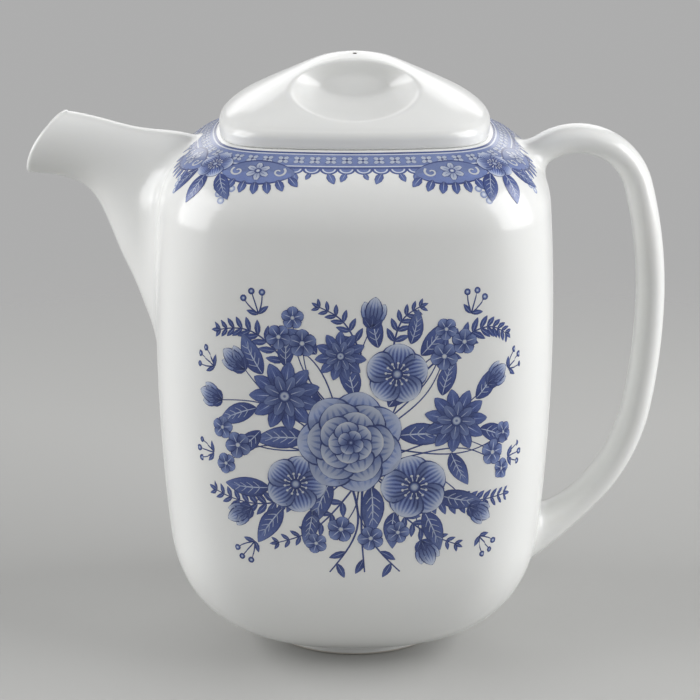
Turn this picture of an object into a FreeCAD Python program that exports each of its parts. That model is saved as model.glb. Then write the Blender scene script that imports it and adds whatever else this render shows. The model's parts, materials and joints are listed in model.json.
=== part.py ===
"""Square porcelain coffee pot with a lift-off lid, as its separately formed pieces.

Frame: millimetres, +Z up, origin at the centre of the foot ring on the table.
The spout points along -X, the handle along +X, and the printed faces look along -Y and +Y.
"""
import FreeCAD, Part
import math
import os
import Sketcher
from FreeCAD import Placement, Rotation, Vector

doc = FreeCAD.newDocument("coffee_pot")

# Driving dimensions, in millimetres unless the name says ratio or turn.
# A half is the distance from the pot's axis to the middle of a side.
SIZES = {
    "wall": 4.0,
    "side_bow_ratio": 3.0,
    "belly_half": 62.8,
    "belly_height": 100.0,
    "side_radius": 610.0,
    "body_corner": 27.0,
    "bowl_radius": 47.0,
    "bowl_top": 42.0,
    "shoulder_radius": 22.0,
    "shoulder_half": 39.1,
    "shoulder_height": 143.2,
    "seat_half": 43.0,
    "seat_height": 166.5,
    "seat_corner": 16.0,
    "mouth_half": 36.5,
    "mouth_corner": 12.0,
    "mouth_lead": 1.0,
    "foot_height": 3.4,
    "foot_radius": 30.5,
    "foot_width": 4.5,
    "foot_round": 1.3,
    "lid_half": 42.0,
    "lid_corner": 14.0,
    "lid_band": 4.4,
    "lid_crease": 3.6,
    "lid_height": 190.0,
    "lid_cavity_half": 31.5,
    "lid_cavity_height": 12.0,
    "scoop_wall": 9.5,
    "scoop_half": 10.5,
    "scoop_tall": 3.3,
    "scoop_height": 180.4,
    "vent_radius": 0.7,
    "vent_front": 3.0,
    "flange_half": 35.2,
    "flange_wall": 3.7,
    "flange_depth": 14.0,
    "flange_corner": 11.0,
    "flange_taper": 0.6,
    "overrun": 1.0,
    "spout_wall": 3.0,
    "lip_x": -74.3,
    "lip_z": 147.5,
    "lip_radius": 28.8,
    "trim_x": -86.0,
    "trim_low": 140.0,
    "trim_span": 60.0,
    "strainer_tall": 17.0,
    "strainer_wide": 10.5,
    "strainer_height": 130.0,
    "strainer_hole": 1.7,
    "strainer_pitch": 6.4,
    "opening_reach": 20.0,
    "handle_thick": 8.8,
    "handle_deep": 15.5,
    "handle_flare": 3.6,
    "handle_reach": 94.5,
    "handle_widest": 110.0,
    "handle_top_radius": 20.0,
    "handle_upper_radius": 138.0,
    "handle_lower_radius": 200.0,
    "handle_bend_radius": 60.0,
    "handle_top_turn": 16.0,
    "handle_bend_turn": 10.0,
}

# Spout stations from inside the pot to beyond the lip: centre x and z, lean of the
# section towards the pot in degrees, half height and half width.
SPOUT_STATIONS = {
    "heart": (-43.0, 118.0, 9.5, 42.6, 25.0),
    "root": (-52.8, 126.4, 10.7, 36.5, 21.5),
    "flare": (-61.4, 138.7, 15.0, 26.6, 16.8),
    "throat": (-67.7, 145.2, 16.0, 20.8, 13.4),
    "waist": (-74.2, 152.9, 19.7, 14.2, 10.6),
    "neck": (-81.2, 158.2, 23.3, 10.9, 9.2),
    "beak": (-90.3, 160.8, 27.0, 10.7, 8.8),
    "lip": (-99.0, 161.6, 33.0, 11.6, 9.0),
}
STATION_FIELDS = ("x", "z", "lean", "tall", "wide")
for station, values in SPOUT_STATIONS.items():
    for field, value in zip(STATION_FIELDS, values):
        SIZES[f"spout_{station}_{field}"] = value

sheet = doc.addObject("Spreadsheet::Sheet", "dims")
for row, (alias, value) in enumerate(SIZES.items(), start=1):
    sheet.set(f"A{row}", alias)
    sheet.set(f"B{row}", str(value))
    sheet.setAlias(f"B{row}", alias)
doc.recompute()


def size(expression):
    """Value of an expression on the sheet, as a plain number."""
    result = sheet.evalExpression(str(expression))
    return float(getattr(result, "Value", result))


def new_body(name):
    return doc.addObject("PartDesign::Body", name)


def section(body, name, role, offset, lean="0"):
    """Sketch on an origin plane of the body, moved by offsets and leaned about its own x."""
    sketch = body.newObject("Sketcher::SketchObject", name)
    plane = next(item for item in body.Origin.OriginFeatures if item.Role == role)
    sketch.AttachmentSupport = [(plane, "")]
    sketch.MapMode = "FlatFace"
    sketch.AttachmentOffset = Placement(Vector(0, 0, 0), Rotation(Vector(1, 0, 0), size(lean)))
    for axis, expression in offset.items():
        sketch.setExpression(f"AttachmentOffset.Base.{axis}", expression)
    if lean != "0":
        sketch.setExpression("AttachmentOffset.Rotation.Angle", f"({lean}) * 1deg")
    return sketch


def bind(sketch, constraint, name, expression):
    """Add a dimension to a sketch and tie it to the sheet."""
    index = sketch.addConstraint(constraint)
    sketch.renameConstraint(index, name)
    sketch.setExpression(f"Constraints.{name}", expression)


def soft_square(sketch, half, corner):
    """Square outline with slightly bowed sides and rounded corners."""
    bow = f"({half}) * dims.side_bow_ratio"
    shift = f"({half}) * (dims.side_bow_ratio - 1)"
    half_value, corner_value = size(half), size(corner)
    bow_value, shift_value = size(bow), size(shift)
    reach = 2 * (bow_value - corner_value) ** 2 - shift_value ** 2
    diagonal = (math.sqrt(reach) - shift_value) / 2
    spread = math.atan2(diagonal, diagonal + shift_value)
    for quarter in range(4):
        facing = quarter * math.pi / 2
        along = Vector(math.cos(facing), math.sin(facing), 0)
        across = Vector(-along.y, along.x, 0)
        side = Part.Circle(along * -shift_value, Vector(0, 0, 1), bow_value)
        rounding = Part.Circle((along + across) * diagonal, Vector(0, 0, 1), corner_value)
        sketch.addGeometry(Part.ArcOfCircle(side, facing - spread, facing + spread))
        corner_end = facing + math.pi / 2 - spread
        sketch.addGeometry(Part.ArcOfCircle(rounding, facing + spread, corner_end))
    for edge in range(8):
        sketch.addConstraint(Sketcher.Constraint("Tangent", edge, 2, (edge + 1) % 8, 1))
    for quarter in range(4):
        side_edge, corner_edge = 2 * quarter, 2 * quarter + 1
        axis = -1 if quarter % 2 == 0 else -2
        kind = "DistanceX" if quarter % 2 == 0 else "DistanceY"
        sketch.addConstraint(Sketcher.Constraint("PointOnObject", side_edge, 3, axis))
        ends = (side_edge, 3, -1, 1) if quarter < 2 else (-1, 1, side_edge, 3)
        bind(sketch, Sketcher.Constraint(kind, *ends, shift_value), f"shift_{quarter}", shift)
        bind(sketch, Sketcher.Constraint("Radius", side_edge, bow_value), f"bow_{quarter}", bow)
        bind(sketch, Sketcher.Constraint("Radius", corner_edge, corner_value),
             f"corner_{quarter}", corner)


def oval(sketch, across, upright):
    """Ellipse about the sketch's origin, from its two half sizes."""
    wide, tall = size(across), size(upright)
    points = [Vector(wide, 0, 0), Vector(0, tall, 0)]
    lines = ["Horizontal", "Vertical"]
    expressions = [across, upright]
    if tall > wide:
        points.reverse()
        lines.reverse()
        expressions.reverse()
    sketch.addGeometry(Part.Ellipse(points[0], points[1], Vector(0, 0, 0)))
    sketch.exposeInternalGeometry(0)
    sketch.addConstraint(Sketcher.Constraint("Coincident", 0, 3, -1, 1))
    sketch.addConstraint(Sketcher.Constraint(lines[0], 1))
    for line, name in ((1, "long_axis"), (2, "short_axis")):
        length = f"2 * ({expressions[line - 1]})"
        bind(sketch, Sketcher.Constraint("Distance", line, size(length)), name, length)


def loft(body, name, sections):
    feature = body.newObject("PartDesign::AdditiveLoft", name)
    feature.Profile = sections[0]
    feature.Sections = sections[1:]
    feature.Ruled = False
    return feature


def stack(name, levels):
    """Body lofted through level soft squares given as (height, half, corner)."""
    body = new_body(name)
    sections = []
    for number, (height, half, corner) in enumerate(levels, start=1):
        sketch = section(body, f"{name}_level_{number}", "XY_Plane", {"z": height})
        soft_square(sketch, half, corner)
        sections.append(sketch)
    loft(body, f"{name}_loft", sections)
    return body


def boolean(kind, name, base, tool):
    feature = doc.addObject(f"Part::{kind}", name)
    feature.Base = base
    feature.Tool = tool
    return feature


def side_half(height):
    """Half width of the gently barrelled side at a height."""
    return f"(dims.belly_half - ({height} - dims.belly_height) ^ 2 / (2 * dims.side_radius))"


# The bowl under the sides is one arc, and its centre follows from the side above it.
BOWL_X = f"({side_half('dims.bowl_top')} - dims.bowl_radius)"
BOWL_Z = ("(dims.bowl_top + dims.bowl_radius"
          " * (dims.belly_height - dims.bowl_top) / dims.side_radius)")
BOWL_END = 80
BOWL_STEPS = 5
SIDE_SHARES = (0.22, 0.43, 0.65, 0.86)
SHOULDER_TURNS = (8, 27, 46, 64)


def pot_levels(inset, floor):
    """Levels of the pot from its floor to its shoulder, drawn in by an inset."""
    corner = f"dims.body_corner - {inset}"
    bowl_r = f"(dims.bowl_radius - {inset})"
    start = f"acos(({BOWL_Z} - {floor}) / {bowl_r}) / 1deg"
    levels = []
    for step in range(BOWL_STEPS + 1):
        turn = f"({start} + ({BOWL_END} - {start}) * {step / BOWL_STEPS})"
        height = f"{BOWL_Z} - {bowl_r} * cos({turn} * 1deg)"
        half = f"{BOWL_X} + {bowl_r} * sin({turn} * 1deg)"
        levels.append((height, half, corner))
    for share in SIDE_SHARES:
        height = f"(dims.bowl_top + (dims.shoulder_height - dims.bowl_top) * {share})"
        levels.append((height, f"{side_half(height)} - {inset}", corner))
    shoulder_r = f"(dims.shoulder_radius - {inset})"
    for step, turn in enumerate(SHOULDER_TURNS):
        height = f"dims.shoulder_height + {shoulder_r} * sin({turn}deg)"
        half = f"dims.shoulder_half + {shoulder_r} * cos({turn}deg)"
        draw_in = f"(dims.body_corner - dims.seat_corner) * {(step / len(SHOULDER_TURNS)) ** 2}"
        levels.append((height, half, f"{corner} - {draw_in}"))
    return levels


# The pot is slip-cast: a barrelled square with a round bowl below and a soft shoulder above.
outer_levels = pot_levels("0", "dims.foot_height")
outer_levels.append(("dims.seat_height", "dims.seat_half", "dims.seat_corner"))
pot_form = stack("pot_form", outer_levels)

inner_levels = pot_levels("dims.wall", "(dims.foot_height + dims.wall)")
inner_levels.append(("dims.seat_height - dims.wall", "dims.mouth_half + dims.mouth_lead",
                     "dims.mouth_corner"))
pot_hollow = stack("pot_hollow", inner_levels)
mouth = stack("mouth", [
    ("dims.seat_height - 2 * dims.wall", "dims.mouth_half", "dims.mouth_corner"),
    ("dims.seat_height + dims.wall", "dims.mouth_half", "dims.mouth_corner"),
])
pot_inside = boolean("Fuse", "pot_inside", pot_hollow, mouth)
pot_shell = boolean("Cut", "pot_shell", pot_form, pot_inside)

# The strainer is the pierced oval of wall behind the spout.
opening = new_body("spout_opening")
opening_ends = []
for side, sign in (("near", "+"), ("far", "-")):
    sketch = section(opening, f"opening_{side}", "YZ_Plane",
                     {"y": "dims.strainer_height",
                      "z": f"-dims.belly_half {sign} dims.opening_reach"})
    oval(sketch, "dims.strainer_wide", "dims.strainer_tall")
    opening_ends.append(sketch)
loft(opening, "opening_loft", opening_ends)

pot_body = boolean("Cut", "pot_body", pot_shell, opening)
strainer_plate = boolean("Common", "strainer_plate", pot_shell, opening)

MIDDLE_HOLES = 5
COLUMN_PITCH_RATIO = math.sqrt(3) / 2
holes = []
for column in (-1, 0, 1):
    column_holes = MIDDLE_HOLES - abs(column)
    for number in range(column_holes):
        row = number - (column_holes - 1) / 2
        hole = doc.addObject("Part::Cylinder", f"strainer_hole_{len(holes) + 1}")
        hole.Placement = Placement(Vector(0, 0, 0), Rotation(Vector(0, 1, 0), 90))
        hole.setExpression("Radius", "dims.strainer_hole")
        hole.setExpression("Height", "2 * dims.opening_reach")
        hole.setExpression("Placement.Base.x", "-dims.belly_half - dims.opening_reach")
        hole.setExpression("Placement.Base.y",
                           f"{column * COLUMN_PITCH_RATIO} * dims.strainer_pitch")
        hole.setExpression("Placement.Base.z",
                           f"dims.strainer_height + {row} * dims.strainer_pitch")
        holes.append(hole)
piercing = doc.addObject("Part::MultiFuse", "strainer_piercing")
piercing.Shapes = holes
strainer = boolean("Cut", "strainer", strainer_plate, piercing)

# The foot is a round standing ring under the bowl, its edges softened.
foot_ring = new_body("foot_ring")
foot_sketch = section(foot_ring, "foot_profile", "XY_Plane", {"z": "0"})
for number, radius in enumerate(("dims.foot_radius", "dims.foot_radius - dims.foot_width")):
    foot_sketch.addGeometry(Part.Circle(Vector(0, 0, 0), Vector(0, 0, 1), size(radius)))
    foot_sketch.addConstraint(Sketcher.Constraint("Coincident", number, 3, -1, 1))
    bind(foot_sketch, Sketcher.Constraint("Radius", number, size(radius)), f"rim_{number}", radius)
foot_pad = foot_ring.newObject("PartDesign::Pad", "foot_pad")
foot_pad.Profile = foot_sketch
foot_pad.setExpression("Length", "dims.foot_height")
doc.recompute()
standing_edges = [f"Edge{number}" for number, edge in enumerate(foot_pad.Shape.Edges, start=1)
                  if edge.BoundBox.ZMax < 1e-6]
foot_fillet = foot_ring.newObject("PartDesign::Fillet", "foot_fillet")
foot_fillet.Base = (foot_pad, standing_edges)
foot_fillet.setExpression("Radius", "dims.foot_round")


# The spout is a hollow horn, broad at the pot and drawn to a beak, with a convex lip.
def horn(name, inset):
    body = new_body(name)
    sections = []
    for station in SPOUT_STATIONS:
        cell = f"dims.spout_{station}"
        sketch = section(body, f"{name}_{station}", "YZ_Plane",
                         {"y": f"{cell}_z", "z": f"{cell}_x"}, f"{cell}_lean")
        oval(sketch, f"{cell}_wide - {inset}", f"{cell}_tall - {inset}")
        sections.append(sketch)
    loft(body, f"{name}_loft", sections)
    return body


spout_outside = horn("spout_outside", "0")
spout_channel = horn("spout_channel", "dims.spout_wall")
spout_tube = boolean("Cut", "spout_tube", spout_outside, spout_channel)
spout_seated = boolean("Cut", "spout_seated", spout_tube, pot_form)
lip_block = doc.addObject("Part::Box", "lip_block")
for side in ("Length", "Width", "Height"):
    lip_block.setExpression(side, "dims.trim_span")
lip_block.setExpression("Placement.Base.x", "dims.trim_x - dims.trim_span")
lip_block.setExpression("Placement.Base.y", "-dims.trim_span / 2")
lip_block.setExpression("Placement.Base.z", "dims.trim_low")
lip_round = doc.addObject("Part::Cylinder", "lip_round")
lip_round.Placement = Placement(Vector(0, 0, 0), Rotation(Vector(1, 0, 0), 90))
lip_round.setExpression("Radius", "dims.lip_radius")
lip_round.setExpression("Height", "2 * dims.trim_span")
lip_round.setExpression("Placement.Base.x", "dims.lip_x")
lip_round.setExpression("Placement.Base.y", "dims.trim_span")
lip_round.setExpression("Placement.Base.z", "dims.lip_z")
lip_trim = boolean("Cut", "lip_trim", lip_block, lip_round)
spout = boolean("Cut", "spout", spout_seated, lip_trim)

# The handle is a cast strap on a chain of four tangent arcs, thicker where it joins the pot.
# An arc is its centre x, centre z and radius, and a station is a turn on it from +X.
upper_arc = ("(dims.handle_reach - dims.handle_upper_radius)", "dims.handle_widest",
             "dims.handle_upper_radius")
lower_arc = ("(dims.handle_reach - dims.handle_lower_radius)", "dims.handle_widest",
             "dims.handle_lower_radius")


def arc_after(arc, radius, turn):
    """Arc of another radius that carries on from an arc at a turn without a kink."""
    centre_x = f"({arc[0]} + ({arc[2]} - {radius}) * cos({turn} * 1deg))"
    centre_z = f"({arc[1]} + ({arc[2]} - {radius}) * sin({turn} * 1deg))"
    return centre_x, centre_z, radius


top_arc = arc_after(upper_arc, "dims.handle_top_radius", "dims.handle_top_turn")
bend_arc = arc_after(lower_arc, "dims.handle_bend_radius", "(-dims.handle_bend_turn)")
handle_stations = [(top_arc, turn) for turn in (152, 138, 122, 104, 85, 66, 46, 26)]
handle_stations += [(upper_arc, turn) for turn in (11, 3)]
handle_stations += [(lower_arc, turn) for turn in (-4,)]
handle_stations += [(bend_arc, turn) for turn in (-16, -30, -44, -56, -66)]

# Past these turns the strap flares into the pot, over the spans given here, in degrees.
TOP_FLARE_TURN = 118
TOP_FLARE_SPAN = 30
LOW_FLARE_TURN = -42
LOW_FLARE_SPAN = 24
SIDE_FLARE_RATIO = 0.6

handle_strap = new_body("handle_strap")
strap_sections = []
for number, (arc, turn) in enumerate(handle_stations, start=1):
    flare = max(0.0, (turn - TOP_FLARE_TURN) / TOP_FLARE_SPAN,
                (LOW_FLARE_TURN - turn) / LOW_FLARE_SPAN) ** 2
    thick = f"dims.handle_thick / 2 + dims.handle_flare * {flare:.4f}"
    deep = f"dims.handle_deep / 2 + dims.handle_flare * {SIDE_FLARE_RATIO * flare:.4f}"
    sketch = section(handle_strap, f"strap_{number}", "YZ_Plane",
                     {"y": f"{arc[1]} + {arc[2]} * sin({turn}deg)",
                      "z": f"{arc[0]} + {arc[2]} * cos({turn}deg)"}, f"90 - ({turn})")
    oval(sketch, deep, thick)
    strap_sections.append(sketch)
loft(handle_strap, "strap_loft", strap_sections)
handle = boolean("Cut", "handle", handle_strap, pot_form)

# The lid is a low tent with an upright edge band, drawn to a soft peak.
# Each slope level is its half size and its height, as shares of the lid's own.
LID_SLOPE = ((1, 0.19), (0.87, 0.37), (0.655, 0.575), (0.405, 0.79),
             (0.214, 0.925), (0.09, 0.974), (0.03, 0.986))
EDGE_ROUNDNESS = 0.33
PEAK_ROUNDNESS = 0.83
lid_rise = "(dims.lid_height - dims.seat_height)"
lid_levels = []
for half_share, height_share in LID_SLOPE:
    roundness = PEAK_ROUNDNESS + (EDGE_ROUNDNESS - PEAK_ROUNDNESS) * half_share
    lid_levels.append((f"dims.seat_height + {lid_rise} * {height_share}",
                       f"dims.lid_half * {half_share}", f"dims.lid_half * {half_share * roundness}"))
lid_tent = stack("lid_tent", lid_levels)
lid_edge = stack("lid_edge", [
    ("dims.seat_height", "dims.lid_half", "dims.lid_corner"),
    lid_levels[0],
])
lid_sharp = boolean("Fuse", "lid_sharp", lid_edge, lid_tent)
doc.recompute()
crease_height = size(lid_levels[0][0])
crease_edges = [number for number, edge in enumerate(lid_sharp.Shape.Edges, start=1)
                if abs(edge.BoundBox.Center.z - crease_height) < 0.05
                and edge.BoundBox.ZLength < 0.05]
lid_form = doc.addObject("Part::Fillet", "lid_form")
lid_form.Base = lid_sharp
lid_form.Edges = [(number, size("dims.lid_crease"), size("dims.lid_crease"))
                  for number in crease_edges]

# Finger scoops hollow the front and back of the tent and leave a crest to pinch between them.
# A station is its run out from the scoop's flat wall, then how far it has spread sideways,
# spread upright and risen there.
SCOOP_STATIONS = ((0, 0, 0, 0), (2.6, 4.6, 3.0, 2.0), (8.5, 8.6, 5.9, 4.6), (32, 14.5, 11, 8.5))


def funnel(name, swell):
    body = new_body(name)
    sections = []
    for number, (run, wide, tall, rise) in enumerate(SCOOP_STATIONS, start=1):
        sketch = section(body, f"{name}_{number}", "XZ_Plane",
                         {"y": f"dims.scoop_height + {rise}",
                          "z": f"dims.scoop_wall + {run} - {swell}"})
        oval(sketch, f"dims.scoop_half + {wide} + {swell}", f"dims.scoop_tall + {tall} + {swell}")
        sections.append(sketch)
    loft(body, f"{name}_loft", sections)
    mirrored = doc.addObject("Part::Mirroring", f"{name}_back")
    mirrored.Source = body
    mirrored.Normal = Vector(0, 1, 0)
    return boolean("Fuse", f"{name}_pair", body, mirrored)


scoops = funnel("scoop", "0")
lid_scooped = boolean("Cut", "lid_scooped", lid_form, scoops)
lid_cavity = stack("lid_cavity", [
    ("dims.seat_height - dims.overrun", "dims.lid_cavity_half", "dims.lid_corner - dims.wall"),
    ("dims.seat_height + dims.lid_band / 2", "dims.lid_cavity_half", "dims.lid_corner - dims.wall"),
    ("dims.seat_height + dims.lid_cavity_height", "dims.lid_cavity_half / 2", "dims.lid_corner / 2"),
])
scoop_backs = funnel("scoop_back", "dims.wall")
lid_inside = boolean("Cut", "lid_inside", lid_cavity, scoop_backs)
lid_hollowed = boolean("Cut", "lid_hollowed", lid_scooped, lid_inside)
vent = doc.addObject("Part::Cylinder", "vent")
vent.setExpression("Radius", "dims.vent_radius")
vent.setExpression("Height", lid_rise)
vent.setExpression("Placement.Base.y", "-dims.vent_front")
vent.setExpression("Placement.Base.z", "dims.seat_height + dims.overrun")
lid_cover = boolean("Cut", "lid_cover", lid_hollowed, vent)

# The flange is the square skirt under the lid that keeps it centred in the mouth.
flange_foot = "(dims.seat_height - dims.flange_depth)"
flange_outside = stack("flange_outside", [
    (flange_foot, "dims.flange_half - dims.flange_taper", "dims.flange_corner - dims.flange_taper"),
    ("dims.seat_height", "dims.flange_half", "dims.flange_corner"),
])
flange_inside = stack("flange_inside", [
    (height, "dims.flange_half - dims.flange_wall", "dims.mouth_corner - dims.flange_wall")
    for height in (f"{flange_foot} - dims.overrun", "dims.seat_height + dims.overrun")
])
lid_flange = boolean("Cut", "lid_flange", flange_outside, flange_inside)

PIECES = (pot_body, strainer, foot_ring, spout, handle, lid_cover, lid_flange)
doc.recompute()
for item in doc.Objects:
    if "Invalid" in item.State or "Error" in item.State:
        raise RuntimeError(f"{item.Name} failed: {item.State}")
for piece in PIECES:
    piece.Label = piece.Name
    if piece.Shape.isNull() or not piece.Shape.isValid() or len(piece.Shape.Solids) != 1:
        raise RuntimeError(f"{piece.Label}: bad shape with {len(piece.Shape.Solids)} solids")

os.makedirs("parts", exist_ok=True)
for piece in PIECES:
    piece.Shape.exportStep(f"parts/{piece.Label}.step")
    box = piece.Shape.BoundBox
    print(f"{piece.Label}: {piece.Shape.Volume / 1000:.1f} cm3,"
          f" x {box.XMin:.1f}..{box.XMax:.1f}, y {box.YMin:.1f}..{box.YMax:.1f},"
          f" z {box.ZMin:.1f}..{box.ZMax:.1f}")
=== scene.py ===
import json
import math

import bmesh
import bpy
import numpy as np
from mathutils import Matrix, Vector

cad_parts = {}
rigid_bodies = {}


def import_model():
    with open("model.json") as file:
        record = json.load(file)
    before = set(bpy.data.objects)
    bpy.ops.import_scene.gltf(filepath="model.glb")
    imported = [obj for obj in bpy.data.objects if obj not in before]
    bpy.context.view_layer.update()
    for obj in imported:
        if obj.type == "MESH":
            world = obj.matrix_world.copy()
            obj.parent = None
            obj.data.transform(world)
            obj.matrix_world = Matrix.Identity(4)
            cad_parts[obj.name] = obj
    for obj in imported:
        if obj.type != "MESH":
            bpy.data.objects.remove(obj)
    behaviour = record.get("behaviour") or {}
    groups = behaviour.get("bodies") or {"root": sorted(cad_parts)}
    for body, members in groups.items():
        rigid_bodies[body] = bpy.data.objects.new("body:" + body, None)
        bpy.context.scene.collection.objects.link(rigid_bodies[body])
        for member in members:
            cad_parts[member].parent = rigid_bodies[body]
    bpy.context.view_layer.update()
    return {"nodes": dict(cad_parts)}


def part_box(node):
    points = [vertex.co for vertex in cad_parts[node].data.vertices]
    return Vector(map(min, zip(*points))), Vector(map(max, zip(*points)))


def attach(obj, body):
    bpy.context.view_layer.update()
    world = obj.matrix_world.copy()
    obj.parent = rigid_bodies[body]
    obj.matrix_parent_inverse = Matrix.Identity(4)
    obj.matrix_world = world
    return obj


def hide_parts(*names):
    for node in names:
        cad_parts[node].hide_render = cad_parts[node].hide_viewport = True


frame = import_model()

# Pot body: one slip-cast porcelain jar, square in plan with bowed sides and soft corners.
# The bowl below is round, the shoulder above draws in to the seat of the lid, and the
# casting is dipped in clear glaze inside and out.
pot_low, pot_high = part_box("pot_body")
INK_ROOM = 0.00018
BELLY_HALF = pot_high.x - INK_ROOM
SEAT_HEIGHT = pot_high.z
FLOOR_HEIGHT = pot_low.z
POT_WALL = 0.0040
SIDE_BOW = 3.0
BELLY_HEIGHT = 0.1000
SIDE_RADIUS = 0.610
BODY_CORNER = 0.027
BOWL_RADIUS = 0.047
BOWL_TOP = 0.042
SHOULDER_RADIUS = 0.022
SHOULDER_HEIGHT = 0.1432
SHOULDER_END = math.radians(64)
SHOULDER_DRAW = 0.75
SEAT_HALF = 0.043
SEAT_CORNER = 0.016
MOUTH_HALF = 0.0365
MOUTH_CORNER = 0.012
EDGE_ROUND = 0.0012
CORNER_EASE = math.radians(9)
POT_AROUND = 256
OUTER_COUNTS = (40, 50, 34)
INNER_COUNTS = (20, 26, 16)

ease_steps = np.linspace(-1, 1, 9)
ease_weights = np.exp(-2 * ease_steps ** 2)
ease_weights /= ease_weights.sum()


def full_turn(count):
    return np.linspace(0, 2 * math.pi, count, endpoint=False)


def ring_points(radius, turn, height):
    return np.stack([radius * np.cos(turn), radius * np.sin(turn), height + 0 * radius], -1)


def bowed_square(turn, half, corner):
    """Distance from the axis to a square outline with bowed sides and round corners, by turn."""
    bow = SIDE_BOW * half
    shift = bow - half
    diagonal = (np.sqrt(2 * (bow - corner) ** 2 - shift ** 2) - shift) / 2
    spread = np.arctan2(diagonal, diagonal + shift)
    side_end = np.arctan2(bow * np.sin(spread), bow * np.cos(spread) - shift)
    fold = np.abs((turn + math.pi / 4) % (math.pi / 2) - math.pi / 4)
    side = np.sqrt(bow ** 2 - (shift * np.sin(fold)) ** 2) - shift * np.cos(fold)
    lean = math.pi / 4 - fold
    reach = diagonal * math.sqrt(2)
    rounding = np.sqrt(np.maximum(corner ** 2 - (reach * np.sin(lean)) ** 2, 0))
    return np.where(fold < side_end, side, reach * np.cos(lean) + rounding)


def soft_square(turn, half, corner):
    """The bowed square with its sides eased into its corners, true at the middle of a side."""
    eased = middle = 0
    for step, weight in zip(ease_steps * CORNER_EASE, ease_weights):
        eased = eased + weight * bowed_square(turn + step, half, corner)
        middle = middle + weight * bowed_square(step + 0 * half, half, corner)
    return eased * half / middle


def side_half(height):
    return BELLY_HALF - (height - BELLY_HEIGHT) ** 2 / (2 * SIDE_RADIUS)


def wall_rows(inset, bowl_count, side_count, shoulder_count):
    """Rows of half size, height and corner from the floor to the end of the shoulder."""
    bowl = BOWL_RADIUS - inset
    bowl_end = math.pi / 2 - math.atan((BELLY_HEIGHT - BOWL_TOP) / SIDE_RADIUS)
    bowl_x = side_half(BOWL_TOP) - BOWL_RADIUS * math.sin(bowl_end)
    bowl_z = BOWL_TOP + BOWL_RADIUS * math.cos(bowl_end)
    bowl_turn = np.linspace(math.acos((bowl_z - FLOOR_HEIGHT - inset) / bowl), bowl_end, bowl_count)
    shoulder = SHOULDER_RADIUS - inset
    shoulder_start = math.atan((SHOULDER_HEIGHT - BELLY_HEIGHT) / SIDE_RADIUS)
    side_top = SHOULDER_HEIGHT + SHOULDER_RADIUS * math.sin(shoulder_start)
    shoulder_x = side_half(side_top) - SHOULDER_RADIUS * math.cos(shoulder_start)
    shoulder_turn = np.linspace(shoulder_start, SHOULDER_END, shoulder_count)
    side = np.linspace(BOWL_TOP, side_top, side_count + 2)[1:-1]
    half = np.concatenate([bowl_x + bowl * np.sin(bowl_turn), side_half(side) - inset,
                           shoulder_x + shoulder * np.cos(shoulder_turn)])
    height = np.concatenate([bowl_z - bowl * np.cos(bowl_turn), side,
                             SHOULDER_HEIGHT + shoulder * np.sin(shoulder_turn)])
    corner = np.full(len(half), BODY_CORNER - inset)
    drawn_in = SHOULDER_DRAW * np.linspace(0, 1, shoulder_count)
    corner[-shoulder_count:] -= (BODY_CORNER - SEAT_CORNER) * drawn_in ** 2
    return np.stack([half, height, corner], 1)


def run(start, end, count):
    """Rows on a straight run between two rows, both ends left out."""
    return np.linspace(start, end, count + 2)[1:-1]


def edge_rows(half, corner, first, last, count):
    """Rows round a softened edge at the seat, between two turns in degrees."""
    turn = np.radians(np.linspace(first, last, count))
    height = SEAT_HEIGHT - EDGE_ROUND + EDGE_ROUND * np.sin(turn)
    return np.stack([half + EDGE_ROUND * np.cos(turn), height, np.full(count, corner)], 1)


def floor_rows(edge, count):
    """Rows of a flat floor from its middle to its edge, round at the middle."""
    half = np.linspace(0.06, 1, count, endpoint=False) * edge[0]
    return np.stack([half, np.full(count, edge[1]), np.minimum(half, edge[2])], 1)


def level_rings(rows, around):
    """Level soft squares round the axis, one for each row of half size, height and corner."""
    turn = full_turn(around)
    radius = soft_square(turn[None, :], rows[:, :1], np.minimum(rows[:, 2:], rows[:, :1] * 0.999))
    return ring_points(radius, turn, rows[:, 1:2])


def add_object(name, data):
    thing = bpy.data.objects.new(name, data)
    bpy.context.collection.objects.link(thing)
    return thing


def skin(name, rings, looped=False):
    """Closed piece over rings of points, whose ends meet or are each gathered to a point."""
    count, around = rings.shape[:2]
    index = np.arange(count * around).reshape(count, around)
    lower = index if looped else index[:-1]
    upper = np.roll(index, -1, 0) if looped else index[1:]
    quads = np.stack([lower, np.roll(lower, -1, 1), np.roll(upper, -1, 1), upper], -1)
    points = rings.reshape(-1, 3).tolist()
    faces = quads.reshape(-1, 4).tolist()
    if not looped:
        for end in (0, -1):
            ring = index[end].tolist()
            faces += [(here, after, len(points)) for here, after in zip(ring, ring[1:] + ring[:1])]
            points.append(rings[end].mean(0).tolist())
    mesh = bpy.data.meshes.new(name)
    mesh.from_pydata(points, [], faces)
    outward = bmesh.new()
    outward.from_mesh(mesh)
    bmesh.ops.recalc_face_normals(outward, faces=outward.faces)
    outward.to_mesh(mesh)
    outward.free()
    mesh.shade_smooth()
    return add_object(name, mesh)


def as_plain_mesh(piece):
    """Bakes the piece's modifiers into its mesh and removes them."""
    evaluated = piece.evaluated_get(bpy.context.evaluated_depsgraph_get())
    mesh = bpy.data.meshes.new_from_object(evaluated)
    piece.modifiers.clear()
    piece.data = mesh


def pierce(piece, cutter):
    cut = piece.modifiers.new("pierce", "BOOLEAN")
    cut.operation = "DIFFERENCE"
    cut.solver = "EXACT"
    cut.object = cutter
    as_plain_mesh(piece)
    bpy.data.objects.remove(cutter)


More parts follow.
